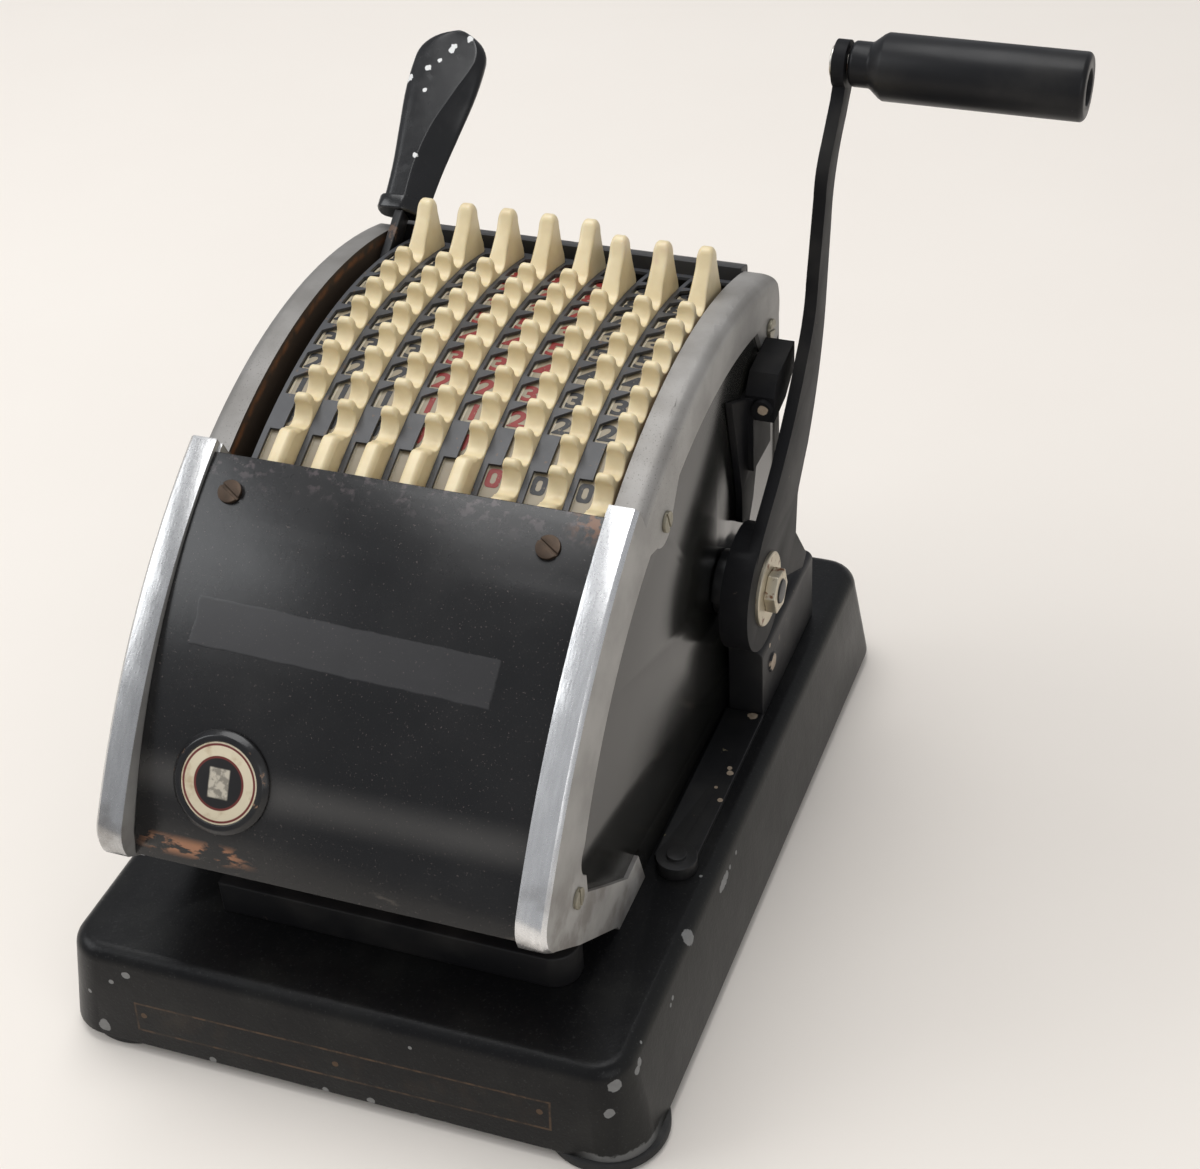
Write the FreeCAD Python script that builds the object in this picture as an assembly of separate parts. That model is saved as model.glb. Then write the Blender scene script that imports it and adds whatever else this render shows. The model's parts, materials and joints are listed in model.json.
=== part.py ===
"""Desk cheque writer: eight notched key racks on a curved head, a crank and a clearing lever.

Millimetres, +Z up, the paper throat faces -Y and the crank is on +X.
Y and Z of the head are worked out from the pivot of the key racks, in polar terms:
r is the distance from the pivot line and phi the angle from -Y upwards.
"""
import FreeCAD
import Part
import math
import os

V = FreeCAD.Vector
X_AXIS, Y_AXIS, Z_AXIS = V(1, 0, 0), V(0, 1, 0), V(0, 0, 1)

# ---------------------------------------------------------------- driving dimensions
FIT = 0.05                # radial clearance of a shaft in its bore
GAP = 0.3                 # clearance between pieces that move past each other

# base
FOOT_R, FOOT_H, FOOT_INSET = 19.0, 4.0, 20.0     # inset of a foot's middle from the base's sides
FOOT_SLIP = (3.2, -2.6)   # the front right foot has crept out on its screw
BASE_HALF_X, BASE_HALF_Y, BASE_MID_Y, BASE_H = 97.8, 134.0, 2.2, 34.8
DRAFT_X, DRAFT_Y, BASE_CORNER_R, BASE_EDGE_R = 6.0, 3.5, 15.0, 5.3
BASE_WALL = 5.0
PLATE_T = 1.5
SCREW_R, SCREW_HEAD_R = 2.0, 4.5
BASE_TOP = FOOT_H + BASE_H

# pivot of the key racks, inside the base
PIVOT_Y, PIVOT_Z, PIVOT_R = 42.7, 11.3, 3.0
PIVOT_HUB_R, HUB_HALF_W = 5.3, 6.6
SHAFT_R, SHAFT_END = 4.0, 66.0        # cross shafts of the head and the rock shaft
PIVOT_LUG_X, ROCKER_LUG_X, LUG_T = BASE_HALF_X - 25.8, BASE_HALF_X - 27.8, 6.0
ARM_SLOT_Y0, ARM_SLOT_Y1 = 24.0, 62.0   # opening in the base's top for the racks' arms

# key racks
COLUMNS = 8
PITCH = 14.2875           # 9/16 inch
FIRST_X = -43.5
STEP = 360.0 / 99         # one digit of travel
DIGITS = 10
SET_COLUMNS = 3           # the last columns stand one step forward
RIM_R = 171.9             # head's rim; the radii below follow it
MASK_R, MASK_T, MASK_W, MASK_GAP = RIM_R - 4.0, 1.0, 7.2, 0.35
FLANGE_W, FLANGE_T = 6.9, 1.2
FLANGE_R1 = MASK_R - 0.4
FLANGE_R0 = FLANGE_R1 - FLANGE_T
RIDGE_W, RIDGE_R0 = 6.4, FLANGE_R0 - 0.4
HOOK_R, HOOK_H = MASK_R + 8.5, 6.8
SCOOP_R = HOOK_R - HOOK_H
HOOK_ROUND = 1.9          # half the thickness of a hook's lip
LIP_FLATS = ((0.0, 2.3), (0.7, 0.7), (1.9, 0.0))    # section of the ridge's top: in from its side, down
FIN_R, FIN_LEAN = HOOK_R + 10.0, 2.2
RACK_FRONT = 59.9
RACK_REAR = 104.6
WEB_W = 2.0
ARM_PHI, ARM_X0, ARM_X1 = 106.6, 1.4, 3.2    # radius arm in the blank position, beside the ridge
TOOTH_ROOM = 2                          # teeth beyond the ten that the travel uses

# gear train: rack to idler to type wheel
MODULE = 3.0
RACK_TEETH, IDLER_TEETH, WHEEL_TEETH = 99, 35, 16
ADDENDUM, DEDENDUM = 0.75, 1.0
TOOTH_SHARE = 0.42        # tooth thickness at the pitch line as a share of the pitch
TYPE_R, TYPE_Y, TYPE_FACE_Z = 27.0, -76.0, 52.0
IDLER_X0, IDLER_X1, IDLER_COUNT = -4.2, 1.0, 19    # faces from the rack's middle, teeth cut
PINION_X1, WHEEL_X1, WHEEL_W = -2.0, -4.4, 5.2
TYPE_FACE_T, TYPE_FACE_HALF = 2.0, 6.5
GEAR_HUB_R = 7.0

# head
FRAME_X0, FRAME_X1 = 61.0, 71.0
COVER_R, COVER_T = MASK_R + 10.1, 1.2
CHEEK_R, NOSE_R = COVER_R + 1.3, COVER_R + 7.0
RIM_PHI1, CHEEK_PHI = 107.0, 63.5
COVER_TOP_PHI, COVER_CREASE_PHI = 62.4, 27.0
COVER_LIP, COVER_HALF_X = (-120.8, 78.3), 61.9
RAIL_W, WINDOW_W, WINDOW_PHI = 1.3, 4.9, 1.25
WINDOW_SHIFT, READING_PHI = 0.77, 64.0    # windows from their hook in steps; lower edge over the reading window
PAD_PHI0, PAD_PHI1 = 57.2, 59.8
COVER_SCREW_X, SCREW_PHI, POST_R = (-52.1, 48.35), 58.45, 2.3
COVER_SCREW_R, FRAME_SCREW_R, SCREW_HEAD_T, SCREW_SLOT = 3.7, 3.3, 1.2, 0.9
FRAME_SCREWS = ((-16.3, 153.4, 20), (88.5, 158.5, 70), (-101.7, 80.7, 0))    # y, z, turn of the slot
BADGE_X, BADGE_PHI, BEZEL_R, BADGE_R = -34.6, 31.33, 15.6, 12.3
BEZEL_T, BADGE_SINK, BADGE_T, BEZEL_BEVEL = 2.2, 0.8, 1.1, 1.6
EDGE_PHI = 63.26          # edge of the front cover as the digits count from it
PANEL_T, RECESS_T = 1.2, 2.5
FRAME_REAR_Y = 99.0
BAR_PHI0, BAR_PHI1, BAR_R0, BAR_R1 = 106.1, 108.4, RIM_R - 11.9, RIM_R + 1.5

# paper table and platen
TABLE_TOP = 51.0
TABLE_X0, TABLE_X1, TABLE_Y0, TABLE_Y1 = -50.0, 66.4, -100.8, -50.0
TABLE_CORNER_R = 8.0
PLATEN_HALF_Y, PLATEN_LIFT = 4.0, 1.0
PLATEN_TOP, PLATEN_BOTTOM = 50.6, 44.0
PLATEN_X0, PLATEN_X1 = -47.5, 58.5
STEM_X, STEM_R = (-40.0, 40.0), 3.0
ROCKER_Y, ROCKER_Z, ROCKER_HALF = -40.0, 18.0, 3.0
PUSH_X0, PUSH_X1, PUSH_HALF_Y, PUSH_BOTTOM = 61.6, 64.0, 4.0, 24.0
ROCKER_TOP = PUSH_BOTTOM - GAP

# crank
HUB_Y, HUB_Z, HUB_R = 37.5, 93.0, 21.0
HUB_X0, HUB_X1 = 75.5, 85.0
CRANK_R, THREAD_R = 6.0, 4.0
WASHER_R, WASHER_T, NUT_T = 14.5, 1.2, 3.8
ARM_T, ARM_TOP_X = 4.0, 93.0
GRIP_Y, GRIP_Z, GRIP_R = 99.9, 246.7, 10.06
GRIP_X0, GRIP_X1 = 93.6, 164.7
SPINDLE_R = 3.5
CAM_R, CAM_RISE, CRANK_SWING = 14.0, 2.2, 75.0
SPRING_X0, SPRING_X1 = 70.0, 74.8
SPRING_T, SPRING_GROW, SPRING_TURNS = 0.9, 1.5, 3

# clearing lever
LEVER_X, LEVER_T, LEVER_PHI = -57.8, 3.0, 100.5
LEVER_TIP = (88.5, 184.1)
LEVER_HALF, LEVER_TONGUE = 3.0, 6.0
PADDLE_LEAN = 36.0        # rise of the paddle's axis above level
PADDLE = (                # along the axis: left, ridge, right, depth of the right edge, depth of the back
    (1.0, -7.6, 0.4, 7.9, 5.6, 6.5),
    (17.0, -8.4, 0.0, 8.9, 5.6, 6.8),
    (32.0, -10.3, 2.2, 11.0, 5.2, 6.8),
    (46.0, -11.9, 7.0, 13.4, 3.6, 6.2),
    (56.0, -11.9, 11.0, 14.2, 2.4, 5.6),
    (62.5, -8.9, 10.6, 12.8, 1.8, 5.0),
    (66.5, -5.6, 7.6, 9.6, 1.5, 4.4))
PADDLE_END = 68.3
COLLAR_S, COLLAR_OUT = 5.0, 1.3


# ---------------------------------------------------------------- helpers
def polar(r, phi):
    a = math.radians(phi)
    return (PIVOT_Y - r * math.cos(a), PIVOT_Z + r * math.sin(a))


def yz(p, x=0.0):
    return V(x, p[0], p[1])


def about(centre, r, phi):
    """Point at r and phi about another centre, in the same sense as polar."""
    a = math.radians(phi)
    return (centre[0] - r * math.cos(a), centre[1] + r * math.sin(a))


def outline(parts):
    """Closed wire in the YZ plane. A part is a point, or a pair (through, end) for an arc."""
    start = parts[0]
    last = start
    edges = []
    for part in parts[1:] + [start]:
        if isinstance(part[0], tuple):
            edges.append(Part.Arc(yz(last), yz(part[0]), yz(part[1])).toShape())
            last = part[1]
        elif math.dist(last, part) > 1e-6:
            edges.append(Part.LineSegment(yz(last), yz(part)).toShape())
            last = part
    return Part.Wire(edges)


def slab(parts, x0, x1):
    """Outline extruded along X from x0 to x1."""
    face = Part.Face(outline(parts))
    face.translate(V(x0, 0, 0))
    return face.extrude(V(x1 - x0, 0, 0))


def sector(r0, r1, a0, a1, x0, x1):
    """Piece of a ring about the rack pivot."""
    mid = (a0 + a1) / 2
    return slab([polar(r0, a0), (polar(r0, mid), polar(r0, a1)), polar(r1, a1),
                 (polar(r1, mid), polar(r1, a0))], x0, x1)


def stepped_sector(r0, r1, a0, a1, x0, x1):
    """Piece of a ring bent flat by flat, one flat for each digit step."""
    count = max(1, round((a1 - a0) / STEP))
    angles = [a0 + (a1 - a0) * k / count for k in range(count + 1)]
    return slab([polar(r0, a) for a in angles] + [polar(r1, a) for a in reversed(angles)], x0, x1)


def hexagon(r, x0, x1, y, z):
    """Six-sided hub along X, r from the axis to its corners."""
    return slab([about((y, z), r, 60 * k) for k in range(6)], x0, x1)


def rod(r, x0, x1, y, z):
    return Part.makeCylinder(r, x1 - x0, V(x0, y, z), X_AXIS)


def post(r, z0, z1, x, y):
    return Part.makeCylinder(r, z1 - z0, V(x, y, z0), Z_AXIS)


def box(x0, x1, y0, y1, z0, z1):
    return Part.makeBox(x1 - x0, y1 - y0, z1 - z0, V(x0, y0, z0))


def fuse(shapes):
    shapes = list(shapes)
    if len(shapes) == 1:
        return shapes[0]
    return shapes[0].multiFuse(shapes[1:]).removeSplitter()


def cut(shape, tools):
    for tool in tools:
        shape = shape.cut(tool)
    return shape


def turn(shape, degrees, y=PIVOT_Y, z=PIVOT_Z):
    """Copy turned forward (positive about +X) about a line along X."""
    copy = shape.copy()
    copy.rotate(V(0, y, z), X_AXIS, degrees)
    return copy


def mirrored(shape):
    return shape.mirror(V(0, 0, 0), X_AXIS)


def rounded_rectangle(half_x, half_y, r, z):
    """Wire of a rectangle with round corners at height z over the middle of the base."""
    edges = []
    corners = [(1, 1, 0), (-1, 1, 90), (-1, -1, 180), (1, -1, 270)]
    points = []
    for sx, sy, start in corners:
        centre = V(sx * (half_x - r), BASE_MID_Y + sy * (half_y - r), z)
        arc = []
        for degrees in (start, start + 45, start + 90):
            a = math.radians(degrees)
            arc.append(centre + V(r * math.cos(a), r * math.sin(a), 0))
        points.append(arc)
    for i, arc in enumerate(points):
        edges.append(Part.Arc(*arc).toShape())
        edges.append(Part.LineSegment(arc[2], points[(i + 1) % 4][0]).toShape())
    return Part.Wire(edges)


def column_x(i):
    return FIRST_X + i * PITCH


# ---------------------------------------------------------------- gear layout
RACK_PITCH_R = MODULE * RACK_TEETH / 2
IDLER_PITCH_R = MODULE * IDLER_TEETH / 2
WHEEL_PITCH_R = MODULE * WHEEL_TEETH / 2
TYPE_Z = TYPE_FACE_Z + TYPE_R
IDLER_RATIO = RACK_TEETH / IDLER_TEETH
WHEEL_RATIO = -RACK_TEETH / WHEEL_TEETH
TRAVEL = DIGITS * STEP


def idler_centre():
    """The idler touches the rack's pitch circle from inside and the type wheel's from outside."""
    a = RACK_PITCH_R - IDLER_PITCH_R
    b = IDLER_PITCH_R + WHEEL_PITCH_R
    dy, dz = PIVOT_Y - TYPE_Y, TYPE_Z - PIVOT_Z
    c = math.hypot(dy, dz)
    corner = math.degrees(math.acos((a * a + c * c - b * b) / (2 * a * c)))
    phi = math.degrees(math.atan2(dz, dy)) + corner
    return polar(a, phi), phi


IDLER, MESH_PHI = idler_centre()
TYPE_AXIS = (TYPE_Y, TYPE_Z)
COVER_LIP_PHI = math.degrees(math.atan2(COVER_LIP[1] - PIVOT_Z, PIVOT_Y - COVER_LIP[0]))
WHEEL_PHI = math.degrees(math.atan2(TYPE_Z - IDLER[1], IDLER[0] - TYPE_Y))


def tooth_points(centre, pitch_r, teeth, index_phi, inner):
    """Four corners of one tooth; inner teeth point at the centre."""
    step = 360.0 / teeth
    thick = step * TOOTH_SHARE / 2
    add, ded = ADDENDUM * MODULE, DEDENDUM * MODULE
    lean = math.degrees(math.tan(math.radians(20)) / pitch_r)
    sign = -1 if inner else 1
    root_r, tip_r = pitch_r - sign * ded, pitch_r + sign * add
    root_half, tip_half = thick + ded * lean, thick - add * lean
    return [about(centre, root_r, index_phi - root_half), about(centre, tip_r, index_phi - tip_half),
            about(centre, tip_r, index_phi + tip_half), about(centre, root_r, index_phi + root_half)]


def gear(centre, teeth, first_phi, count, x0, x1):
    """Gear disc with count teeth from first_phi upwards."""
    pitch_r = MODULE * teeth / 2
    step = 360.0 / teeth
    root_r = pitch_r - DEDENDUM * MODULE
    points = []
    for i in range(count):
        points += tooth_points(centre, pitch_r, teeth, first_phi + i * step, False)
    if count < teeth:
        last = first_phi + (count - 1) * step + step * TOOTH_SHARE
        back = first_phi + 360 - step * TOOTH_SHARE
        points.append((about(centre, root_r, (last + back) / 2), points[0]))
    return slab(points, x0, x1)


# ---------------------------------------------------------------- base
def base_section(z, inset=0.0):
    """Outline of the drafted base at height z, inset from its outer face."""
    share = (z - FOOT_H) / BASE_H
    return rounded_rectangle(BASE_HALF_X - DRAFT_X * share - inset, BASE_HALF_Y - DRAFT_Y * share - inset,
                             BASE_CORNER_R - DRAFT_Y * share - inset, z)


def make_base():
    block = Part.makeLoft([base_section(FOOT_H), base_section(BASE_TOP)], True, True)
    rim = [e for e in block.Edges if e.BoundBox.ZMin > BASE_TOP - 0.01]
    block = block.makeFillet(BASE_EDGE_R, rim)
    ceiling = BASE_TOP - BASE_WALL
    block = block.cut(Part.makeLoft([base_section(FOOT_H, BASE_WALL), base_section(ceiling, BASE_WALL)], True, True))
    bosses = []
    for x, y in foot_places():
        bosses.append(post(SCREW_R * 3, FOOT_H + PLATE_T, ceiling, x, y))
    for side in (-1, 1):
        bosses.append(lug(side * PIVOT_LUG_X, PIVOT_Y, PIVOT_Z, PIVOT_HUB_R, ceiling))
        bosses.append(lug(side * ROCKER_LUG_X, ROCKER_Y, ROCKER_Z, SHAFT_R * 2, ceiling))
    block = fuse([block] + bosses)
    holes = []
    for x, y in foot_places():
        holes.append(post(SCREW_R + FIT, FOOT_H, ceiling - 2, x, y))
    reach = max(PIVOT_LUG_X, ROCKER_LUG_X) + LUG_T
    holes.append(rod(PIVOT_R + FIT, -reach, reach, PIVOT_Y, PIVOT_Z))
    holes.append(rod(SHAFT_R + FIT, -reach, reach, ROCKER_Y, ROCKER_Z))
    holes.append(box(-FRAME_X0 + 0.2, FRAME_X0 - 0.2, ARM_SLOT_Y0, ARM_SLOT_Y1, ceiling - 1, BASE_TOP + 1))
    holes.append(box(PUSH_X0 - GAP, PUSH_X1 + GAP, HUB_Y - PUSH_HALF_Y - GAP, HUB_Y + PUSH_HALF_Y + GAP,
                     ceiling - 1, BASE_TOP + 1))
    for x in STEM_X:
        holes.append(post(STEM_R + GAP, ceiling - 1, BASE_TOP + 1, x, TYPE_Y))
    return cut(block, holes)


def lug(x, y, z, half, top):
    """Bearing lug hanging under the base's top."""
    return slab([(y - half, top + 1), (y - half, z), ((y, z - half), (y + half, z)), (y + half, top + 1)],
                x - LUG_T / 2, x + LUG_T / 2)


def foot_places():
    """Middles of the feet's screws; the front right one comes last."""
    return [(sx * (BASE_HALF_X - FOOT_INSET), BASE_MID_Y + sy * (BASE_HALF_Y - FOOT_INSET))
            for sx in (-1, 1) for sy in (1, -1)]


def make_bottom_plate():
    inset = BASE_WALL + DRAFT_X * PLATE_T / BASE_H + GAP
    plate = Part.Face(base_section(FOOT_H, inset)).extrude(V(0, 0, PLATE_T))
    return cut(plate, [post(SCREW_R + 0.15, 0, 10, x, y) for x, y in foot_places()])


def make_feet():
    feet = []
    for x, y in foot_places():
        slip = FOOT_SLIP if (x, y) == foot_places()[-1] else (0, 0)
        foot = post(FOOT_R, 0, FOOT_H, x + slip[0], y + slip[1])
        edge = [e for e in foot.Edges if e.BoundBox.ZMax < 0.01]
        foot = foot.makeChamfer(0.8, edge)
        foot = cut(foot, [post(SCREW_HEAD_R + 0.5, 0, FOOT_H / 2, x, y), post(SCREW_R + 0.15, 0, FOOT_H, x, y)])
        feet.append(foot)
    return Part.makeCompound(feet)


def make_foot_screws():
    screws = []
    for x, y in foot_places():
        head = Part.makeCone(SCREW_HEAD_R - 1, SCREW_HEAD_R, 1.5, V(x, y, FOOT_H / 2 - 1.5), Z_AXIS)
        screws.append(head.fuse(post(SCREW_R, FOOT_H / 2, FOOT_H + 14, x, y)))
    return Part.makeCompound(screws)


# ---------------------------------------------------------------- paper table and platen
def make_table():
    z0 = BASE_TOP
    inner = FRAME_X0 - GAP
    outline_xy = [V(TABLE_X0, TABLE_Y0, z0), V(TABLE_X1 - TABLE_CORNER_R, TABLE_Y0, z0)]
    a = math.radians(45)
    centre = V(TABLE_X1 - TABLE_CORNER_R, TABLE_Y0 + TABLE_CORNER_R, z0)
    mid = centre + V(TABLE_CORNER_R * math.cos(a), -TABLE_CORNER_R * math.sin(a), 0)
    corner_end = centre + V(TABLE_CORNER_R, 0, 0)
    ear_y = TABLE_Y0 + TABLE_CORNER_R + 3
    rest = [V(TABLE_X1, ear_y, z0), V(inner, ear_y, z0), V(inner, TABLE_Y1, z0), V(TABLE_X0, TABLE_Y1, z0)]
    edges = [Part.LineSegment(outline_xy[0], outline_xy[1]).toShape(),
             Part.Arc(outline_xy[1], mid, corner_end).toShape()]
    chain = [corner_end] + rest + [outline_xy[0]]
    for p, q in zip(chain, chain[1:]):
        edges.append(Part.LineSegment(p, q).toShape())
    table = Part.Face(Part.Wire(edges)).extrude(V(0, 0, TABLE_TOP - z0))
    slot = box(PLATEN_X0 - GAP, PLATEN_X1 + GAP, TYPE_Y - PLATEN_HALF_Y - GAP,
               TYPE_Y + PLATEN_HALF_Y + GAP, PLATEN_BOTTOM - GAP, TABLE_TOP + 1)
    holes = [post(STEM_R + GAP, z0 - 1, TABLE_TOP, x, TYPE_Y) for x in STEM_X]
    return cut(table, [slot] + holes)


def make_platen():
    bar = box(PLATEN_X0, PLATEN_X1, TYPE_Y - PLATEN_HALF_Y, TYPE_Y + PLATEN_HALF_Y, PLATEN_BOTTOM, PLATEN_TOP)
    stems = [post(STEM_R, ROCKER_TOP + GAP, PLATEN_BOTTOM, x, TYPE_Y) for x in STEM_X]
    return fuse([bar] + stems)


def make_rocker():
    """Rock shaft with a rear arm under the push rod and two front arms under the platen."""
    shaft = rod(SHAFT_R, -ROCKER_LUG_X - LUG_T, ROCKER_LUG_X + LUG_T, ROCKER_Y, ROCKER_Z)
    low = ROCKER_Z - ROCKER_HALF
    end = HUB_Y + PUSH_HALF_Y / 2
    arms = [slab([(ROCKER_Y, low), (end, ROCKER_Z + PLATEN_LIFT * 1.5), (end, ROCKER_TOP), (ROCKER_Y, ROCKER_TOP)],
                 PUSH_X0, PUSH_X1)]
    for x in STEM_X:
        arms.append(slab([(ROCKER_Y, low), (ROCKER_Y, ROCKER_TOP), (TYPE_Y - STEM_R, ROCKER_TOP),
                          (TYPE_Y - STEM_R, ROCKER_Z)], x - ROCKER_HALF, x + ROCKER_HALF))
    return fuse([shaft] + arms)


def make_push_rod():
    return box(PUSH_X0, PUSH_X1, HUB_Y - PUSH_HALF_Y, HUB_Y + PUSH_HALF_Y,
               PUSH_BOTTOM, HUB_Z - CAM_R - 0.8)


# ---------------------------------------------------------------- head frames
def head_outline():
    nose_top = polar(NOSE_R, 25.7)
    return [(FRAME_REAR_Y, BASE_TOP), (FRAME_REAR_Y, 158.0), ((98.0, 169.5), polar(RIM_R, RIM_PHI1)),
            (polar(RIM_R, 85), polar(RIM_R, CHEEK_PHI)), polar(CHEEK_R, CHEEK_PHI),
            (polar(CHEEK_R + 0.7, 44), nose_top), ((-125.6, 85.0), (-124.0, 79.8)), (-118.8, 75.9),
            (-102.3, 62.2), (-73.0, 40.9), (-72.0, BASE_TOP)]


def recess_outline():
    """Edge of the sheet panel let into the outer side of a head frame."""
    return [(98.0, BASE_TOP), (98.0, 151.0), ((88.0, 150.5), (80.5, 155.0)), polar(156.4, 102.0),
            (polar(156.4, 87), polar(156.4, 73.0)), (polar(150.5, 69.6), polar(147.4, 67.6)),
            (polar(148.4, 65.6), polar(153.0, 64.2)), polar(157.0, 62.5), (polar(158.6, 45), polar(159.0, 31.0)),
            ((-96.9, 87.2), (-93.8, 82.4)), (-93.7, 75.5), (-78.0, 63.2), (-62.6, 51.6), (-52.7, 52.2),
            (-48.0, BASE_TOP)]


def make_frame(right):
    frame = slab(head_outline(), FRAME_X0, FRAME_X1)
    rim = [e for e in frame.Edges if on_outer_rim(e)]
    frame = frame.makeFillet(4.5, rim)
    front = [e for e in frame.Edges if on_cheek_edge(e)]
    frame = frame.makeChamfer(1.2, front)
    frame = frame.cut(slab(recess_outline(), FRAME_X1 - RECESS_T, FRAME_X1 + 1))
    bores = [rod(SHAFT_R + FIT, FRAME_X0 - 1, SHAFT_END + GAP, *IDLER),
             rod(SHAFT_R + FIT, FRAME_X0 - 1, SHAFT_END + GAP, TYPE_Y, TYPE_Z)]
    seats = [sector(COVER_R - COVER_T, NOSE_R + 20, COVER_LIP_PHI - 1.5, CHEEK_PHI + 2, FRAME_X0 - 1,
                    COVER_HALF_X + 0.1),
             sector(COVER_R - 4 * COVER_T, COVER_R, COVER_LIP_PHI - 1.5, COVER_CREASE_PHI + 0.5, FRAME_X0 - 1,
                    COVER_HALF_X + 0.1)]
    if right:
        bores.append(rod(CRANK_R + FIT, FRAME_X0 - 1, FRAME_X1 + 1, HUB_Y, HUB_Z))
        bores.append(rod(CAM_R + CAM_RISE + 2, FRAME_X0 - 1, PUSH_X1 + 2 * GAP, HUB_Y, HUB_Z))
        bores.append(box(FRAME_X0 - 1, PUSH_X1 + 2 * GAP, HUB_Y - PUSH_HALF_Y - GAP,
                         HUB_Y + PUSH_HALF_Y + GAP, BASE_TOP - 1, HUB_Z))
    return cut(frame, bores + seats)


def radius_range(edge):
    radii = [math.hypot(v.Point.y - PIVOT_Y, v.Point.z - PIVOT_Z) for v in edge.Vertexes]
    return min(radii), max(radii)


def on_outer_rim(edge):
    low, high = radius_range(edge)
    box_ = edge.BoundBox
    return box_.XMin > FRAME_X1 - 0.01 and abs(low - RIM_R) < 0.1 and abs(high - RIM_R) < 0.1 \
        and edge.Length > 50


def on_cheek_edge(edge):
    low, high = radius_range(edge)
    return edge.BoundBox.XMin > FRAME_X1 - 0.01 and low > CHEEK_R - 0.5 and edge.Length > 50


def make_panel(right):
    x0 = FRAME_X1 - RECESS_T
    panel = slab(recess_outline(), x0, x0 + PANEL_T)
    if right:
        panel = panel.cut(rod(CRANK_R + 1, x0 - 1, x0 + 5, HUB_Y, HUB_Z))
    return panel


# ---------------------------------------------------------------- covers, masks and bars
def make_front_cover():
    top, crease = COVER_TOP_PHI, COVER_CREASE_PHI
    inner_r = COVER_R - COVER_T
    mid = (top + crease) / 2
    lip_in = (COVER_LIP[0] + COVER_T, COVER_LIP[1] + GAP)
    return slab([polar(COVER_R, top), (polar(COVER_R, mid), polar(COVER_R, crease)), bend_point(0),
                 COVER_LIP, lip_in, bend_point(COVER_T), polar(inner_r, crease),
                 (polar(inner_r, mid), polar(inner_r, top))], -COVER_HALF_X, COVER_HALF_X)


def bend_point(inset):
    return polar(COVER_R + GAP / 3 - inset, (COVER_CREASE_PHI + COVER_LIP_PHI) / 2)


def make_throat_plate():
    """Sheet under the head's nose that leads the paper in below the type wheels."""
    lead_in, inner = (-117.9, 76.1), (-92.5, 55.2)
    t = 1.0
    length = math.dist(lead_in, inner)
    side = ((lead_in[1] - inner[1]) / length * t, (inner[0] - lead_in[0]) / length * t)
    return slab([lead_in, inner, (inner[0] + side[0], inner[1] + side[1]),
                 (lead_in[0] + side[0], lead_in[1] + side[1])], -FRAME_X0 + 0.1, FRAME_X0 - 0.1)


def make_masks():
    """Slate-coloured number masks between the racks, one stamped sheet joined at the rear."""
    r0, r1 = MASK_R, MASK_R + MASK_T
    strips = [stepped_sector(r0, r1, RACK_REAR + 0.3, BAR_PHI0, -FRAME_X0 + 7, FRAME_X0 - GAP)]
    windows = []
    for i in range(COLUMNS):
        x1 = column_x(i) - RIDGE_W / 2 - MASK_GAP
        x0 = x1 - MASK_W
        low, first = READING_PHI + STEP, EDGE_PHI + (1 + WINDOW_SHIFT) * STEP
        strips.append(stepped_sector(r0, r1, low, first, x0, x1 - RAIL_W))
        strips.append(stepped_sector(r0, r1, first, EDGE_PHI + (DIGITS + 1.5) * STEP, x0, x1))
        strips.append(stepped_sector(r0, r1, EDGE_PHI + (DIGITS + 1.5) * STEP, BAR_PHI0, x0, x1))
        strips.append(stepped_sector(r0, r1, PAD_PHI1, low, x0, x0 + RAIL_W))
        strips.append(stepped_sector(r0, r1, PAD_PHI0, PAD_PHI1, x0, x1))
        for k in range(2, DIGITS + 1):
            windows.append(window(r0 - 1, r1 + 1, EDGE_PHI + (k + WINDOW_SHIFT) * STEP, x1 - WINDOW_W, x1 + 1))
    sheet = fuse(strips).cut(Part.makeCompound(windows))
    posts = [radial_pin(POST_R, MASK_R + MASK_T / 2, COVER_R - COVER_T - FIT, x, SCREW_PHI) for x in COVER_SCREW_X]
    return fuse([sheet] + posts)


def window(r0, r1, mid, x0, x1):
    """Notch open to the rack, its far corner cut aslant."""
    corners = [(x0, -WINDOW_PHI), (x1, -WINDOW_PHI), (x1, 1.3 * WINDOW_PHI), (x0 + WINDOW_W / 3, WINDOW_PHI),
               (x0, 0.6 * WINDOW_PHI)]
    a = math.radians(mid)
    out, along = V(0, -math.cos(a), math.sin(a)), V(0, math.sin(a), math.cos(a))
    points = [yz(polar(r0, mid), x) + along * (MASK_R * math.radians(da)) for x, da in corners]
    return Part.Face(Part.makePolygon(points + points[:1])).extrude(out * (r1 - r0))


def radial_pin(r, r0, r1, x, phi):
    """Cylinder along a radius of the rack pivot."""
    y, z = polar(r0, phi)
    a = math.radians(phi)
    return Part.makeCylinder(r, r1 - r0, V(x, y, z), V(0, -math.cos(a), math.sin(a)))


def make_rear_bar():
    return sector(BAR_R0, BAR_R1, BAR_PHI0, BAR_PHI1, -FRAME_X0 + 0.1, FRAME_X0 - 0.1)


def make_rear_cover():
    y0 = FRAME_REAR_Y - 2.2
    t = 1.2
    top = polar(BAR_R1, BAR_PHI1 + 0.1)
    top_in = polar(BAR_R1 - 3, BAR_PHI1 + 0.1)
    return slab([(y0, BASE_TOP), (y0, 164.0), top_in, top, (y0 + t, 165.0), (y0 + t, BASE_TOP)],
                -FRAME_X0 + 0.1, FRAME_X0 - 0.1)


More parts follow.
